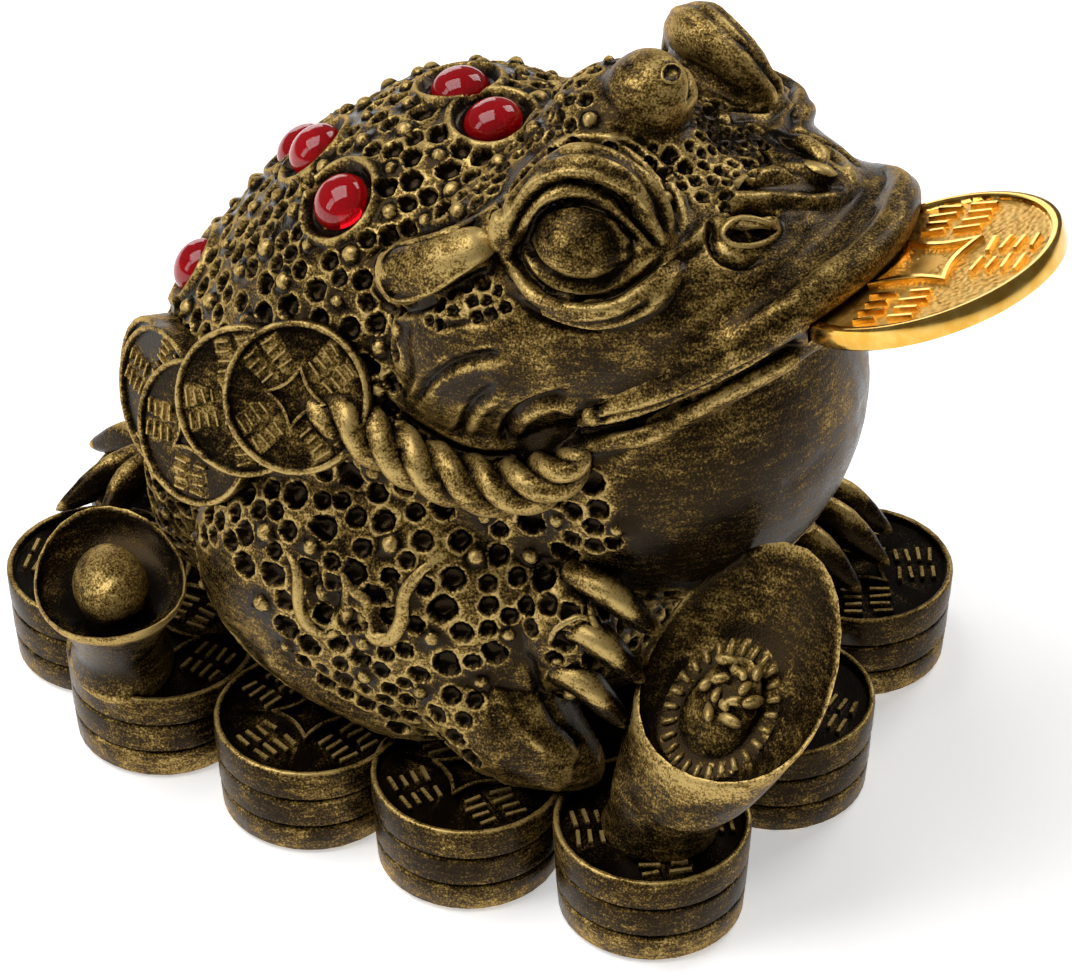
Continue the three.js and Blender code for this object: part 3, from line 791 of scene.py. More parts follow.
CROWN_FOLDS = (
    (((664, 44), (684, 54), (697, 72), (701, 92), (696, 108)), 4, 0.7),
    (((668, 50), (684, 60), (692, 76), (692, 94), (684, 108)), 3, -0.7),
)
CHEEK_FOLDS = (
    (((413, 408), (418, 397), (427, 383), (448, 366), (473, 357), (502, 353)), 6, -1.1),
    (((430, 402), (440, 384), (458, 372), (482, 366), (506, 362)), 8, 0.7),
    (((457, 440), (464, 417), (476, 400), (498, 384)), 6, -1.0),
    (((470, 437), (476, 419), (488, 405), (506, 394)), 7, 0.65),
    (((428, 332), (446, 325), (464, 321), (500, 321)), 4, -0.6),
    (((426, 339), (448, 332), (470, 328), (502, 328)), 5, 0.36),
    (((503, 448), (505, 428), (518, 412), (540, 401), (570, 393)), 7, -1.2),
    (((516, 442), (520, 428), (532, 416), (552, 408), (580, 404)), 6, 0.54),
    (((372, 392), (400, 418), (428, 436), (458, 452), (486, 458), (524, 456)), 9, -1.4),
    (((408, 318), (404, 345), (407, 372), (398, 405)), 8, -0.56),
)
MOUTH_FOLDS = (
    (((910, 178), (884, 205), (861, 232), (840, 254), (811, 282), (790, 300), (747, 325), (694, 357),
      (640, 386), (600, 401), (556, 412)), 11, 0.72),
    (((885, 178), (846, 213), (806, 250), (765, 285), (705, 325), (640, 360)), 13, -0.42),
    (((806, 309), (745, 343), (690, 371), (636, 398)), 4, -0.24),
    (((802, 342), (770, 358), (747, 369), (694, 396), (644, 414), (600, 421), (556, 432)), 6, -0.98),
    (((806, 358), (745, 387), (696, 412), (650, 442), (608, 468)), 9, 0.45),
    (((780, 490), (792, 482), (812, 468), (835, 445)), 9, -0.25),
    (((548, 448), (575, 434), (605, 426), (640, 420), (676, 408)), 9, -0.84),
)
LEG_FOLDS = (
    (((310, 560), (315, 590), (320, 612), (332, 606), (335, 585)), 11, -1.5),
    (((360, 585), (374, 600), (380, 620), (390, 618), (392, 590), (388, 570)), 11, -1.5),
    (((262, 652), (300, 682), (345, 709), (395, 731), (445, 748)), 7, 0.9),
    (((270, 640), (305, 668), (350, 695), (400, 716)), 6, -0.6),
    (((489, 673), (500, 700), (520, 728), (552, 760)), 9, 0.5),
    (((528, 652), (540, 690), (556, 722), (590, 752)), 7, -0.7),
)
CURL_RIDGES = (
    ((285, 547), (297, 570), (300, 605), (310, 625), (330, 632), (345, 615), (347, 590), (340, 569)),
    ((340, 569), (352, 590), (365, 600), (365, 620), (375, 637), (392, 637), (402, 620), (405, 595),
     (420, 572), (454, 550)),
)
HAND_RIDGES = (
    ((575, 592), (587, 567), (590, 607), (597, 627), (630, 652)),
    ((550, 642), (557, 628), (580, 617), (594, 625)),
    ((545, 677), (555, 662), (568, 667)),
)

# Where the skin stays smooth, drawn on the photograph, and where its pits are small
SMOOTH_FACE = (
    (366, 270), (380, 246), (400, 234), (446, 222), (490, 196), (508, 168), (545, 138), (590, 124),
    (625, 128), (652, 146), (672, 170), (690, 212), (712, 196), (735, 178), (770, 160), (800, 165),
    (835, 150), (900, 140), (940, 200), (930, 330), (900, 420), (850, 560), (700, 600), (610, 520),
    (590, 470), (520, 470), (450, 460), (396, 420), (398, 350), (404, 312), (376, 300),
)
TAB_PATCH = (
    (424, 318), (440, 298), (468, 282), (494, 262), (506, 286), (516, 312), (500, 318), (464, 316),
    (436, 326),
)
FOREHEAD = (
    (600, 106), (640, 90), (700, 84), (770, 110), (800, 150), (760, 158), (715, 186), (706, 206),
    (698, 188), (684, 166), (668, 148), (648, 130), (626, 118),
)
SMOOTH_BAND = (
    (190, 540), (222, 545), (272, 624), (302, 674), (372, 709), (422, 747), (482, 795), (440, 810),
    (330, 770), (250, 710), (190, 620),
)
SMOOTH_HEEL = (
    (488, 668), (520, 640), (548, 648), (566, 700), (610, 740), (610, 790), (540, 800), (490, 780),
    (460, 742),
)


# Places raised or sunk as a whole, drawn on the photograph: an outline, the width of its slope in
# pixels, and its rise in millimetres
WING_PLATEAUS = (
    (((728, 209), (740, 210), (750, 206), (760, 207), (772, 210), (784, 216), (772, 219), (757, 220),
      (740, 218), (730, 215)), 3, -1.7),
)
NOSE_PLATEAUS = (
    (((729, 229), (740, 224), (755, 226), (773, 232), (760, 240), (740, 241), (730, 237)), 3, -2.0),
)
FACE_PLATEAUS = (
    (((376, 272), (381, 254), (397, 244), (414, 240), (448, 230), (482, 214), (504, 198), (506, 222),
      (500, 250), (468, 272), (436, 291), (412, 301), (394, 301), (380, 290)), 5, 1.2),
)
LEG_PLATEAUS = (
    (((489, 673), (525, 655), (556, 690), (590, 770), (560, 795), (500, 790), (470, 740)), 10, 0.4),
)


def inside(pixels, outline):
    """Which pixels lie inside an outline"""
    hit = np.zeros(len(pixels), bool)
    count = len(outline)
    for k in range(count):
        (x0, y0), (x1, y1) = outline[k], outline[(k + 1) % count]
        if y0 == y1:
            continue
        crosses = (pixels[:, 1] > min(y0, y1)) & (pixels[:, 1] <= max(y0, y1))
        hit ^= crosses & (pixels[:, 0] < x0 + (pixels[:, 1] - y0) * (x1 - x0) / (y1 - y0))
    return hit


def fold_share(pixels, line, half_width):
    """From 0 beside a line through points to 1 on it, dying away towards both its ends"""
    path = smooth_path(line, 8 * len(line))
    steps = lengths(np.diff(path, axis=0))
    run_at = np.concatenate([[0], np.cumsum(steps)])
    best = np.full(len(pixels), np.inf)
    along = np.zeros(len(pixels))
    for k, (a, b) in enumerate(zip(path[:-1], path[1:])):
        run = b - a
        share = np.clip(((pixels - a) @ run) / (run @ run), 0, 1)
        gap = lengths(pixels - a - share[:, None] * run)
        nearer = gap < best
        best[nearer] = gap[nearer]
        along[nearer] = (run_at[k] + share * steps[k])[nearer]
    taper = 1.0
    if line[0] != line[-1]:
        fade = min(FOLD_FADE, run_at[-1] * 0.3)
        taper = np.clip(np.minimum(along, run_at[-1] - along) / fade, 0, 1)
    return np.clip(1 - (best / half_width) ** 2, 0, 1) ** 1.5 * taper


def line_gap(pixels, line):
    """Distance from each place to a line through points"""
    best = np.full(len(pixels), np.inf)
    corners = np.array(line, float)
    for a, b in zip(corners[:-1], corners[1:]):
        run = b - a
        share = np.clip(((pixels - a) @ run) / (run @ run), 0, 1)
        best = np.minimum(best, lengths(pixels - a - share[:, None] * run))
    return best


def carve(skin, regions):
    """Presses folds and raised or sunk places into the skin. Each region says whether it is carved only
    where the photograph's camera sees it or on its mirror image too, then its places, folds and plateaus."""
    places = places_of(skin)
    normals = normals_of(skin)
    on_left = places[:, 0] > 0
    twins = mirrored_where(on_left, places)
    twin_normals = mirrored_where(on_left, normals)
    views = {"both": (photo_place(twins), seen_from_camera(skin, twins, twin_normals)),
             "seen": (photo_place(places), seen_from_camera(skin, places, normals))}
    views["far_nose"] = (photo_place(twins + (0, 0, FAR_NOSTRIL_LOWER)), views["both"][1])
    rise = np.zeros(len(places))
    for way, region, folds, plateaus in regions:
        pixels, seen = views[way]
        here = seen & region(places)
        for line, half_width, height in folds:
            low = np.min(line, axis=0) - half_width
            high = np.max(line, axis=0) + half_width
            near = np.nonzero(here & (pixels > low).all(1) & (pixels < high).all(1))[0]
            rise[near] += height * fold_share(pixels[near], line, half_width)
        for outline, slope, height in plateaus:
            within = np.nonzero(here & inside(pixels, outline))[0]
            share = np.clip(line_gap(pixels[within], outline + outline[:1]) / slope, 0, 1)
            rise[within] += height * share * share * (3 - 2 * share)
    rise = evened(rise[:, None], edges_of(skin), 2)[:, 0]
    move_to(skin, places + normals * rise[:, None])
    return views, rise


def seen_from_camera(skin, twins, twin_normals):
    """Which places the camera sees, on the right side or on the left side's mirror image"""
    eye = Vector(CAMERA_PLACE)
    ways = np.array(CAMERA_PLACE) - twins
    facing = (ways * twin_normals).sum(1) / lengths(ways) > 0.05
    tree = BVHTree.FromObject(skin, bpy.context.evaluated_depsgraph_get())
    seen = np.zeros(len(twins), bool)
    slack = 2.5
    for k in np.nonzero(facing)[0]:
        way = Vector(twins[k]) - eye
        hit = tree.ray_cast(eye, way)
        seen[k] = hit[3] is not None and hit[3] > way.length - slack
    return seen


def evened(values, edges, rounds):
    """Values drawn towards their neighbours' middle, a number of times"""
    count, width = values.shape
    degree = np.maximum(np.bincount(edges.ravel(), minlength=count), 1)[:, None]
    first, second = edges.T
    for _ in range(rounds):
        total = np.stack([np.bincount(first, values[second, k], count)
                          + np.bincount(second, values[first, k], count) for k in range(width)], 1)
        values = (values + total / degree) / 2
    return values


# Pits and warts

def scattered(places, allowed, spacing, rng, taken=()):
    """Picks places at random, none nearer to another than its own spacing"""
    cell = 4.0
    grid = {}
    chosen = []

    def cell_of(p):
        return tuple(np.floor(p / cell).astype(int))

    for p, r in taken:
        grid.setdefault(cell_of(p), []).append((p, r))
    order = np.nonzero(allowed)[0]
    rng.shuffle(order)
    for k in order:
        p = places[k]
        home = cell_of(p)
        clear = True
        for dx in (-1, 0, 1):
            for dy in (-1, 0, 1):
                for dz in (-1, 0, 1):
                    for q, r in grid.get((home[0] + dx, home[1] + dy, home[2] + dz), ()):
                        gap = (spacing[k] + r) / 2
                        if (p[0] - q[0]) ** 2 + (p[1] - q[1]) ** 2 + (p[2] - q[2]) ** 2 < gap * gap:
                            clear = False
        if clear:
            grid.setdefault(home, []).append((p, spacing[k]))
            chosen.append(k)
    return chosen


def eye_gaps(places):
    """Distance from each place to the middle of the eyeball on its side"""
    return lengths(twins_of(places) - EYE_CENTRE)


def twins_of(places):
    """Each place, or its mirror image, on the left side"""
    return mirrored_where(places[:, 0] < 0, places)


def mirrored_where(away, ways):
    return ways * np.where(away[:, None], (-1, 1, 1), (1, 1, 1))


def pit_rules(places, views):
    """Where pits may lie, and how far apart"""
    pixels, seen = views["both"]
    x, y, z = places.T
    face = seen & inside(pixels, SMOOTH_FACE)
    face |= (y < -22) & (z < 88) & (z > 44) & (np.abs(x) < 28)
    face |= (y < -36) & (z > 60)
    patch = seen & inside(pixels, TAB_PATCH)
    forehead = (seen & inside(pixels, FOREHEAD)) | ((np.abs(x) < 9) & (y < -30) & (y > -42) & (z > 90))
    brow = (np.abs(x) > 13) & (z > 97) & (y < -17)
    heel = (seen & (inside(pixels, SMOOTH_HEEL) | inside(pixels, SMOOTH_BAND))) | ((y < -26) & (z < 30))
    for line in CURL_RIDGES:
        heel |= seen & (x < 0) & (line_gap(pixels, line) < 10)
    crown = lengths(places - (0, -26.5, 107)) < 8.5
    smooth = (eye_gaps(places) < SMOOTH_EYE) | (line_gap(twins_of(places), TEMPLE) < SMOOTH_TEMPLE)
    allowed = (~face | patch | forehead) & ~heel & ~crown & ~brow & ~smooth & (z > 16)
    allowed &= ~((y > 46) & (z < 34))
    spacing = np.full(len(places), PIT_SPACING)
    spacing[z < 32] = PIT_SPACING_LOW
    spacing[(z > 93) & (y < -8)] = PIT_SPACING_HEAD
    spacing[patch] = PIT_SPACING_TEMPLE
    spacing[forehead] = PIT_SPACING_FOREHEAD
    return allowed, spacing, patch | forehead


def pit_skin(skin, views, gems):
    """Presses round pits with thin raised rims all over the back and legs, with warts between them"""
    places = places_of(skin)
    normals = normals_of(skin)
    rng = np.random.default_rng(SEED)
    allowed, spacing, fine = pit_rules(places, views)
    spacing = spacing * rng.uniform(0.72, 1.25, len(places))
    gem_gap = np.min([lengths(places - g) for g in gems], axis=0)
    allowed &= gem_gap > PITS_END
    high_zone = allowed & ~fine & (places[:, 2] > 66)
    low_zone = allowed & ~fine & (places[:, 2] < 66) & (places[:, 2] > 30)
    warts = scattered(places, high_zone, np.full(len(places), WART_SPACING_BACK), rng)
    warts += scattered(places, low_zone, np.full(len(places), WART_SPACING_LEGS), rng)
    wart_sizes = rng.uniform(0.9, 1.45, len(warts))
    taken = [(places[k], size * 2.1) for k, size in zip(warts, wart_sizes)]
    pits = scattered(places, allowed, spacing, rng, taken)
    centres = np.concatenate([places[pits], places[warts]])
    reach = np.concatenate([spacing[pits] * 0.5, wart_sizes])
    is_wart = np.arange(len(centres)) >= len(pits)
    return press_pits(skin, places, normals, centres, reach, is_wart, gem_gap, rng)


def falloff(gap, inner, outer):
    """From 1 at the inner distance to 0 at the outer one"""
    share = np.clip((outer - gap) / (outer - inner), 0, 1)
    return share * share * (3 - 2 * share)


def press_pits(skin, places, normals, centres, reach, is_wart, gem_gap, rng):
    """Moves each place by the pit or wart nearest to it, and gives the tone of what lies there"""
    tree = search_tree(centres)
    depth = 0.85 * reach * rng.uniform(0.75, 1.1, len(centres))
    rise = np.zeros(len(places))
    value = np.full(len(places), np.nan)
    for k, p in enumerate(places):
        uneven = noise.noise_vector(Vector(p) * 0.5) * 0.15
        (_, first, near), (_, _, far) = tree.find_n(Vector(p) + uneven, 2)
        if near > reach[first] * 1.6:
            continue
        if is_wart[first]:
            share = min(near / reach[first], 1.3)
            rise[k] = max(0.0, 1 - share * share) ** 0.7 * reach[first] * 0.85
            value[k] = WART_TONE if share < 0.8 else HOLLOW_TONE
            continue
        edge = min((far - near) / 2 - PIT_WALL / 2, reach[first] - near)
        if edge > 0:
            inward = min(edge / (0.42 * reach[first]), 1.0)
            rise[k] = -depth[first] * (1 - (1 - inward) ** 2)
        rise[k] += 0.16 * math.exp(-((edge + 0.08) / 0.25) ** 2)
        value[k] = max(0.3 - 2.5 * edge, 0.0) if edge > 0.02 else PIT_GROUND
    rise -= COLLAR_RISE * falloff(gem_gap, *SINK_EDGE)
    rise += COLLAR_RISE * np.exp(-((gem_gap - COLLAR_RADIUS) / COLLAR_WIDTH) ** 2)
    value[gem_gap < 5.3] = 0.02
    value[gem_gap < 3.8] = 1.0
    move_to(skin, places + normals * rise[:, None])
    return value


# Feet

def toe(start, knuckle, tip, outward):
    """A toe drawn out into a blunt claw, with a sharp gilded crest along it and dark sides"""
    end = np.array(tip, float)
    way = end - np.array(knuckle, float)
    claw = end + way / np.linalg.norm(way) * CLAW_LENGTH
    r = TOE_RADIUS
    points = (start, knuckle, tip, tuple(claw))
    made = limb(points, [r * 0.9, r, r * 0.95, r * 0.75, r * 0.3], outward, crest, sides=32, name="toe")
    path = smooth_path(points, 40)
    away = np.min(np.linalg.norm(places_of(made)[:, None] - path[None], axis=2), axis=1)
    return tone(made, 0.12 + 0.6 * np.clip((away / r - 0.8) / 0.2, 0, 1))


def crest(angle, share):
    return 0.78 + 0.4 * np.clip(np.cos(angle), 0, 1) ** 5 * np.sin(np.pi * share)


def hands():
    right = (((-28, -29, 49), (-28.5, -36, 48.5), (-27.5, -40, 45)),
             ((-30, -29, 42), (-31, -36, 42), (-30, -39.5, 38.5)),
             ((-31, -28, 35), (-32.5, -34.5, 35.5), (-32, -38.5, 32)))
    left = (((25, -33, 24), (24.5, -40, 21), (25, -45, 17.5)),
            ((30, -33, 24), (31, -41, 21), (32, -46, 17.5)),
            ((34, -31, 23), (37, -38, 20.5), (38.5, -43, 17.5)))
    made = [toe(*joints, (-0.8, -0.5, 0.6)) for joints in right]
    return made + [toe(*joints, (0.2, -0.4, 1)) for joints in left]


def hind_foot():
    spots = (((0, 49, 22), (-9, 53, 19.5), (-16, 53, 17)), ((0, 49, 22), (-8, 56, 19.5), (-13, 60, 17)),
             ((0, 49, 22), (0, 58, 19.5), (0, 63.5, 17)), ((0, 49, 22), (8, 56, 19.5), (13, 60, 17)))
    return [toe(*joints, (0, 0.3, 1)) for joints in spots]


# The casting

def on_face(places):
    return (places[:, 2] > 55) & (places[:, 1] < 10)


def on_near_nose(places):
    return on_face(places) & (places[:, 0] < 9)


def on_left_face(places):
    return on_face(places) & (places[:, 0] > 0)


def on_right_leg(places):
    return (places[:, 0] < 0) & (places[:, 2] < 64) & (places[:, 1] > -34)


def flank_finder(skin):
    """Finds the flank's surface at a given y and z on either side"""
    tree = BVHTree.FromObject(skin, bpy.context.evaluated_depsgraph_get())

    def on_flank(side, y, z):
        hit = tree.ray_cast(Vector((side * 90, y, z)), Vector((-side, 0, 0)))
        return np.array(hit[0])
    return on_flank


def casting(gems):
    skin = toad_skin()
    on_flank = flank_finder(skin)
    face_folds = EYE_FOLDS + TAB_FOLDS + CHEEK_FOLDS + MOUTH_FOLDS
    views, rise = carve(skin, (
        ("both", on_face, face_folds, FACE_PLATEAUS),
        ("seen", on_near_nose, NOSE_FOLDS + WING_FOLDS, NOSE_PLATEAUS + WING_PLATEAUS),
        ("far_nose", on_left_face, NOSE_FOLDS, NOSE_PLATEAUS),
        ("seen", on_face, CROWN_FOLDS, ()),
        ("seen", on_left_face, FAR_WING_FOLDS, ()),
        ("both", on_right_leg, LEG_FOLDS, LEG_PLATEAUS)))
    value = pit_skin(skin, views, gems)
    tone(skin, np.where(np.isnan(value), skin_tone_and_painted_light(places_of(skin)) + 0.08 * rise, value))
    fingers = hands()
    ridges = drawn_ridges([skin] + fingers)
    for piece in [skin] + ridges:
        set_left_eye_back(piece)
    crisp = [rear_ingot(), front_ingot()] + coin_strings() + ropes(on_flank)
    crisp += fingers + hind_foot() + ridges
    whole = united(skin, [united(bed(), crisp)])
    whole.name = "toad_casting_skin"
    cut_away(whole, [gem_seat(g) for g in gems] + [mouth_slot()])
    thinned(whole, CASTING_TRIANGLES)
    return whole


def skin_tone_and_painted_light(places):
    """Paint tone of the skin, with painted top light that makes it brighter from the brows upwards, over the
    brows and crown. Less gold on the cheeks; least on the eyeballs and under the throat, which grows darker
    towards its bottom and carries a painted sheen towards the toad's left side
    """
    x, y, z = places.T
    # Painted top light: the skin is painted brighter from z = 92 mm up, where light from above falls most
    value = SKIN_TONE + 0.07 * np.clip((z - 92) / 8, 0, 1)
    # Under the throat: darker towards the bottom, and a painted sheen that brightens it towards the toad's
    # left side (+x)
    under = (y < -20) & (z < 82) & (np.abs(x) < 30)
    value[under] = (0.2 + 0.28 * np.clip((z - 50) / 26, 0, 1) + 0.08 * np.clip((x + 14) / 16, 0, 1))[under]
    value[z < 28] = FEET_TONE
    value[eye_gaps(places) < EYEBALL_RADIUS + 0.3] = EYEBALL_TONE
    return value


def drawn_ridges(carriers):
    """Thin raised lines that lie on the surface where the photograph shows them"""
    tree = surface_tree(carriers)
    made = []
    for line in CURL_RIDGES:
        made.append(ridge(tree, line, [0.5, 0.95, 1.1, 0.95, 0.45], 0.85))
    for line in HAND_RIDGES:
        made.append(ridge(tree, line, [0.3, 0.5, 0.5, 0.3], 0.7))
    made.append(ridge(tree, CROWN_RING + CROWN_RING[1:4], [0.24], 0.5))
    nostril = NOSTRIL_RING + NOSTRIL_RING[1:4]
    for line, radii in [(line, [0.25, 0.45, 0.45, 0.2]) for line in TAB_RIMS] + [(nostril, [0.42])]:
        near = ridge(tree, line, radii, 0.72)
        far = near.copy()
        far.data = near.data.copy()
        bpy.context.collection.objects.link(far)
        move_to(far, places_of(far) * (-1, 1, 1) - (0, 0, FAR_NOSTRIL_LOWER if line is nostril else 0))
        face_outwards(far)
        made += [near, tone(far, 0.72)]
    return made


def surface_tree(pieces):
    """One search tree over the faces of several pieces"""
    places = []
    faces = []
    for piece in pieces:
        first = len(places)
        places += [tuple(p) for p in places_of(piece)]
        faces += [tuple(first + v for v in face.vertices) for face in piece.data.polygons]
    return BVHTree.FromPolygons(places, faces)


def ridge(tree, line, radii, value):
    """A thin ridge, a little sunk in the surface, along a line drawn on the photograph. It ends where the
    line runs off the edge of a form, to a place more than a step further away."""
    right, up, forward = photo_axes()
    spots = []
    for u, v in line:
        across_way = right * ((u - PHOTO_WIDTH / 2) / FOCAL_PIXELS)
        way = forward + across_way - up * ((v - PHOTO_HEIGHT / 2) / FOCAL_PIXELS)
        hit = tree.ray_cast(Vector(CAMERA_PLACE), Vector(way))
        spot = np.array(hit[0]) + forward * RIDGE_SINK * max(radii)
        if spots and np.linalg.norm(spot - spots[-1]) > RIDGE_STEP:
            break
        spots.append(spot)
    return tone(limb(spots, radii, -forward, rings=6 * len(line), sides=8, name="ridge"), value)


def set_left_eye_back(skin):
    """The left eye sits a little further back and lower than the right one, and its temple lies lower"""
    eye = ((23, -30, 98), 27, 13, LEFT_EYE_BACK)
    temple = ((29, -7, 89), 17, 10, LEFT_TEMPLE_DOWN)
    for middle, reach, fade, way in (eye, temple):
        places = places_of(skin)
        gap = lengths(places - middle)
        share = np.clip((reach - gap) / fade, 0, 1)[:, None]
        move_to(skin, places + np.array(way) * share * share * (3 - 2 * share))


def cut_away(piece, cutters):
    """Sinks the shapes of the cutters into a piece"""
    for cutter in cutters:
        apply_modifier(piece, "BOOLEAN", operation="DIFFERENCE", solver="MANIFOLD", object=cutter)
        bpy.data.objects.remove(cutter)


def thinned(piece, most):
    """Fewer triangles where the surface is flattest"""
    piece.data.calc_loop_triangles()
    count = len(piece.data.loop_triangles)
    if count > most:
        apply_modifier(piece, "DECIMATE", ratio=most / count)


def gem_seat(at):
    radius = GEM_RADIUS + SEAT_GAP
    return lump(at, (radius, radius, GEM_HALF_HEIGHT), name="seat")


def mouth_slot():
    r = MOUTH_COIN_RADIUS + FIT_GAP
    t = MOUTH_COIN_THICKNESS / 2 + FIT_GAP
    slot = turned([(0, -t), (r, -t), (r, t), (0, t)], 96, "slot")
    return place(slot, mouth_coin_centre(), turn=(-MOUTH_COIN_TILT, 0, 0))


def mouth_coin_centre():
    r = MOUTH_COIN_RADIUS
    tilt = math.radians(MOUTH_COIN_TILT)
    return np.array(MOUTH_SLOT_BACK) + (0, -r * math.cos(tilt), r * math.sin(tilt))


# Wear on the casting, kept as an attribute that its material reads

def worn(piece):
    """Writes the old gold on each place: the tone of what it is, more on edges, less in hollows; on the skin
    the tone also carries painted top light and a painted throat sheen. Long edges overstate how far a place
    stands out, by the square of their length, which is taken off again."""
    places = places_of(piece)
    edges = edges_of(piece)
    normals = normals_of(piece)
    share = np.minimum(1, (WEAR_EDGE / edge_lengths(places, edges)) ** 2)
    wear = 0
    for gain, limit, rounds in (WEAR_FINE, WEAR_BROAD):
        standing_out = share * ((places - evened(places, edges, rounds)) * normals).sum(1)
        wear = wear + gain * np.clip(standing_out, -limit, limit)
    gild = np.clip(nearest_tones(places) + wear, 0, 1)
    write_attribute(piece, "gild", gild)


def edge_lengths(places, edges):
    """The middle length of the edges at each place"""
    count = len(places)
    spans = lengths(places[edges[:, 0]] - places[edges[:, 1]])
    total = np.bincount(edges[:, 0], spans, count) + np.bincount(edges[:, 1], spans, count)
    return total / np.maximum(np.bincount(edges.ravel(), minlength=count), 1)


def nearest_tones(places):
    sources = np.concatenate([spots for spots, _ in TONES])
    values = np.concatenate([value for _, value in TONES])
    tree = search_tree(sources)
    return np.array([values[tree.find(p)[1]] for p in places])


# The loose coin and the gems

def mouth_coin():
    """A gilt coin with a polished rim and side, and a pebbled field round a square frame"""
    r = MOUTH_COIN_RADIUS
    t = MOUTH_COIN_THICKNESS / 2
    field = t - 0.7
    steps = [(r - 1.75 - 0.25 * k, field) for k in range(64)]
    under = [(a, -field) for a, _ in reversed(steps)]
    rim = [(r - 1.55, -field - 0.1), (r - 1.35, -t + 0.1), (r - 1.15, -t), (r - 0.4, -t),
           (r - 0.12, -t + 0.12), (r, -t + 0.4), (r, t - 0.4), (r - 0.12, t - 0.12),
           (r - 0.4, t), (r - 1.15, t), (r - 1.35, t - 0.1), (r - 1.55, field + 0.1)]
    coin = turned([(0, -field)] + under + rim + steps + [(0, field)], 300, "mouth_coin_gilt")
    pebble(coin, r - 1.7)
    faces = []
    for side in (1, -1):
        marks = joined([square_ring(FRAME_HALF, 1.0, field - 0.3, t + 0.05)]
                       + stroke_groups(r - 1.5, FRAME_HALF + 0.4, field - 0.3, t, 0.8), "marks")
        faces.append(place(marks, (0, 0, 0), turn=(0, 0, 0) if side > 0 else (180, 0, 0)))
    united(coin, faces)
    places = places_of(coin)
    write_attribute(coin, "matt", (from_axis(places) < r - 1.6) & (np.abs(places[:, 2]) < field + 0.25))
    place(coin, mouth_coin_centre(), turn=(-MOUTH_COIN_TILT, 0, 0))
    coin.name = "mouth_coin_gilt"
    return coin


def pebble(coin, reach):
    """Small round grains pressed side by side into the sunk field, but not inside the frame"""
    places = places_of(coin)
    away = from_axis(places)
    for k in np.nonzero((away < reach) & (away > 0.4 * FRAME_HALF))[0]:
        near = noise.voronoi(Vector(places[k]) * GRAIN_PER_MM, distance_metric="DISTANCE")[0]
        places[k, 2] += np.sign(places[k, 2]) * GRAIN_HEIGHT * (0.5 - near[0])
    move_to(coin, places)


def gem(at, normal, name):
    """A flattened ball of clear red glass, of which the seat hides the lower half"""
    piece = ball(name, 48, 32)
    move_to(piece, places_of(piece) * (GEM_RADIUS, GEM_RADIUS, GEM_HALF_HEIGHT))
    return place(piece, at, normal)


# Materials

def linear(code):
    """A colour given as an sRGB hex value, as the shader's linear one"""
    parts = [int(code[k:k + 2], 16) / 255 for k in (1, 3, 5)]
    return [p / 12.92 if p <= 0.04045 else ((p + 0.055) / 1.055) ** 2.4 for p in parts] + [1.0]


def add_node(tree, kind, inputs=None, **settings):
    """Adds a node with its settings, its values and its links"""
    made = tree.nodes.new(kind)
    for key, value in settings.items():
        setattr(made, key, value)
    for name, value in (inputs or {}).items():
        if isinstance(value, bpy.types.NodeSocket):
            tree.links.new(value, made.inputs[name])
        else:
            made.inputs[name].default_value = value
    return made


def new_material(name):
    material = bpy.data.materials.new(name)
    material.use_nodes = True
    tree = material.node_tree
    tree.nodes.clear()
    return material, tree


def gradient(tree, source, stops):
    ramp = add_node(tree, "ShaderNodeValToRGB", {"Fac": source})
    points = ramp.color_ramp.elements
    while len(points) < len(stops):
        points.new(0.5)
    for point, (position, code) in zip(points, stops):
        point.position = position
        point.color = linear(code)
    return ramp.outputs["Color"]


def finished(tree, surface):
    add_node(tree, "ShaderNodeOutputMaterial", {"Surface": surface})


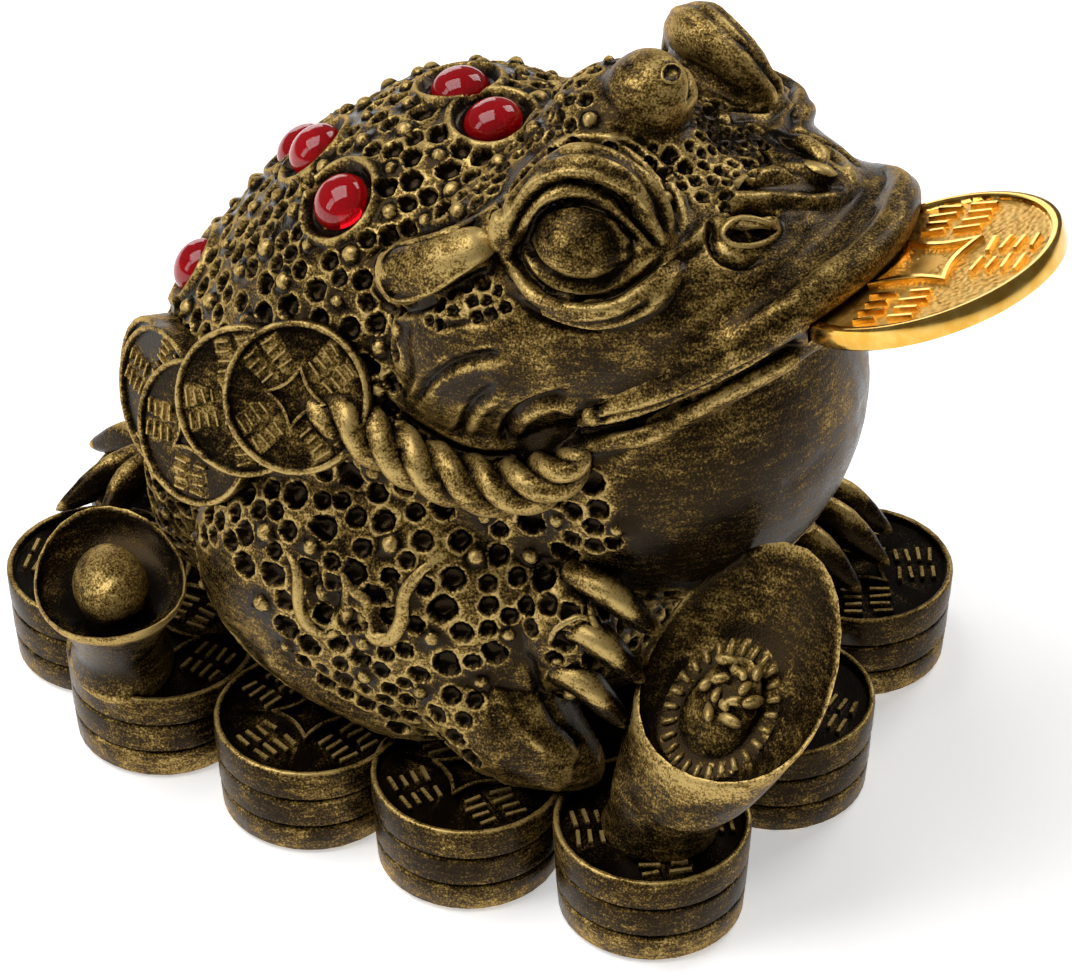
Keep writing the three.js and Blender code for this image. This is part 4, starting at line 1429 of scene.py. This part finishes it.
def dry_brushed_resin():
    """Stone-filled resin, sprayed brown-black and dry brushed with old gold, then varnished: black and wet
    looking in the hollows, dull gold on every high place, speckled and streaked where the brush skipped"""
    material, tree = new_material("dry_brushed_resin")
    where = add_node(tree, "ShaderNodeTexCoord").outputs["Object"]
    # The attribute holds the old gold, and on the skin also painted top light and a painted sheen on the
    # throat
    gild = add_node(tree, "ShaderNodeAttribute", attribute_name="gild").outputs["Fac"]
    speck = add_node(tree, "ShaderNodeTexNoise", {
        "Vector": where, "Scale": SPECKS, "Detail": 2.0, "Roughness": 0.65})
    stretched = add_node(tree, "ShaderNodeMapping", {
        "Vector": where, "Rotation": (0.3, 0.2, 0.6), "Scale": (0.2, 0.35, 1.0)})
    streak = add_node(tree, "ShaderNodeTexNoise", {
        "Vector": stretched.outputs["Vector"], "Scale": STREAKS, "Detail": 3.0, "Roughness": 0.65})
    patches = add_node(tree, "ShaderNodeTexNoise", {
        "Vector": where, "Scale": PATCHES, "Detail": 3.0, "Roughness": 0.6})
    total = gild
    for pattern, share in ((speck, 1.5), (streak, 1.0), (patches, 0.9)):
        total = add_node(tree, "ShaderNodeMath", {0: pattern.outputs["Fac"], 1: share, 2: total},
                         operation="MULTIPLY_ADD").outputs[0]
    gold = add_node(tree, "ShaderNodeMath", {0: total, 1: 1.7}, operation="SUBTRACT").outputs[0]
    colour = gradient(tree, gold, RESIN_TONES)
    metal = add_node(tree, "ShaderNodeMapRange", {
        "Value": gold, "From Min": 0.4, "From Max": 1.0, "To Max": 0.6})
    rough = add_node(tree, "ShaderNodeMapRange", {
        "Value": gold, "From Min": 0.1, "From Max": 0.7, "To Min": 0.16, "To Max": 0.4})
    bump = add_node(tree, "ShaderNodeBump", {
        "Height": speck.outputs["Fac"], "Strength": 0.5, "Distance": 0.1 * MM})
    skin = add_node(tree, "ShaderNodeBsdfPrincipled", {
        "Base Color": colour, "Metallic": metal.outputs["Result"], "Roughness": rough.outputs["Result"],
        "Normal": bump.outputs["Normal"], "Specular IOR Level": 0.26, "Specular Tint": linear("#dcb47c"),
        "IOR": 1.5})
    finished(tree, skin.outputs["BSDF"])
    return material


def gilt_brass():
    """Pressed brass with bright gilding: mirror-like where polished, with a faint haze, and satin in the
    pebbled field"""
    material, tree = new_material("gilt_brass")
    where = add_node(tree, "ShaderNodeTexCoord").outputs["Object"]
    haze = add_node(tree, "ShaderNodeTexNoise", {"Vector": where, "Scale": HAZE, "Detail": 4.0})
    polished = add_node(tree, "ShaderNodeMapRange", {
        "Value": haze.outputs["Fac"], "From Min": 0.3, "From Max": 0.7, "To Min": 0.12, "To Max": 0.2})
    matt = add_node(tree, "ShaderNodeAttribute", attribute_name="matt").outputs["Fac"]
    rough = add_node(tree, "ShaderNodeMath", {0: matt, 1: 0.25, 2: polished.outputs["Result"]},
                     operation="MULTIPLY_ADD").outputs[0]
    colour = gradient(tree, haze.outputs["Fac"], ((0.35, "#e2ac48"), (0.65, "#f0c468")))
    skin = add_node(tree, "ShaderNodeBsdfPrincipled", {"Base Color": colour, "Metallic": 1.0,
                                                       "Roughness": rough})
    finished(tree, skin.outputs["BSDF"])
    return material


def red_glass():
    """Moulded clear red glass, its dome fire polished: dark where it looks into the seat, bright red where
    light comes through its lower edge"""
    material, tree = new_material("red_glass")
    where = add_node(tree, "ShaderNodeTexCoord").outputs["Object"]
    waves = add_node(tree, "ShaderNodeTexNoise", {"Vector": where, "Scale": WAVES, "Detail": 1.0})
    bump = add_node(tree, "ShaderNodeBump", {
        "Height": waves.outputs["Fac"], "Strength": 0.1, "Distance": 0.3 * MM})
    skin = add_node(tree, "ShaderNodeBsdfPrincipled", {
        "Base Color": linear("#f51222"), "Roughness": 0.03, "Transmission Weight": 0.7, "IOR": 1.5,
        "Normal": bump.outputs["Normal"]})
    finished(tree, skin.outputs["BSDF"])
    return material


def plain_floor():
    """Matt white paper that glows a little, so that the floor shows as pale as the photograph's"""
    material, tree = new_material("pale_floor")
    skin = add_node(tree, "ShaderNodeBsdfPrincipled", {
        "Base Color": linear("#ffffff"), "Roughness": 0.9, "Specular IOR Level": 0.1,
        "Emission Color": linear("#ffffff"), "Emission Strength": 0.45})
    finished(tree, skin.outputs["BSDF"])
    return material


# The studio

def add_floor():
    deselect()
    bpy.ops.mesh.primitive_plane_add(size=6)
    floor = bpy.context.active_object
    floor.name = "studio_floor"
    floor.data.materials.append(plain_floor())


def add_softbox(name, place_m, size, power):
    deselect()
    bpy.ops.object.light_add(type="AREA", location=place_m)
    box = bpy.context.active_object
    box.name = name
    box.data.shape = "RECTANGLE"
    box.data.size, box.data.size_y = size
    box.data.energy = power
    box.rotation_euler = (Vector((0, 0, 0.06)) - Vector(place_m)).to_track_quat("-Z", "Y").to_euler()


def add_lights():
    add_softbox("softbox_above", (-0.25, 0.35, 0.95), (0.8, 0.8), 8)
    add_softbox("softbox_right", (0.85, -0.2, 0.8), (0.5, 0.6), 4)
    add_softbox("softbox_left", (-0.75, 0.65, 0.5), (0.35, 0.6), 2)
    add_softbox("softbox_low", (0.75, 0.75, 0.25), (0.5, 0.4), 1.3)
    world = bpy.data.worlds.new("studio")
    bpy.context.scene.world = world
    world.use_nodes = True
    world.node_tree.nodes["Background"].inputs["Color"].default_value = linear("#ffffff")
    world.node_tree.nodes["Background"].inputs["Strength"].default_value = 0.12
    bpy.context.scene.view_settings.view_transform = "Standard"


def add_camera():
    right, up, forward = photo_axes()
    data = bpy.data.cameras.new("photo_camera")
    data.sensor_width = SENSOR_WIDTH
    data.lens = FOCAL_PIXELS * SENSOR_WIDTH / PHOTO_WIDTH
    data.clip_start = 0.01
    camera = bpy.data.objects.new("photo_camera", data)
    bpy.context.collection.objects.link(camera)
    turn = Matrix((right, up, -forward)).transposed()
    camera.matrix_world = Matrix.Translation(Vector(CAMERA_PLACE) * MM) @ turn.to_4x4()
    bpy.context.scene.camera = camera


# Putting it together

def to_metres(piece):
    move_to(piece, places_of(piece) * MM)


def finish_piece(piece, node, material, sharp=None):
    """Scales a piece to metres, gives it its material and lets it stand for its CAD node"""
    to_metres(piece)
    piece.data.materials.clear()
    piece.data.materials.append(material)
    choose(piece)
    if sharp:
        bpy.ops.object.shade_smooth_by_angle(angle=math.radians(sharp))
    else:
        bpy.ops.object.shade_smooth()
    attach(piece, "root")
    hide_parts(node)


def gem_places():
    spots = []
    for k in range(GEM_COUNT):
        low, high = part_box(f"gem_{k + 1}")
        spots.append(np.array((low + high) / 2) / MM)
    return spots


def outward_at(piece, spot, reach=9):
    """The way the skin faces round a place"""
    places = places_of(piece)
    near = lengths(places - spot) < reach
    way = normals_of(piece)[near].mean(0)
    return way / np.linalg.norm(way)


def build():
    gems = gem_places()
    whole = casting(gems)
    worn(whole)
    glass = red_glass()
    for k, spot in enumerate(gems):
        name = f"gem_{k + 1}"
        finish_piece(gem(spot, outward_at(whole, spot), f"{name}_glass"), name, glass)
    finish_piece(whole, "toad_casting", dry_brushed_resin(), 60)
    finish_piece(mouth_coin(), "mouth_coin", gilt_brass(), 35)


build()
add_floor()
add_lights()
add_camera()
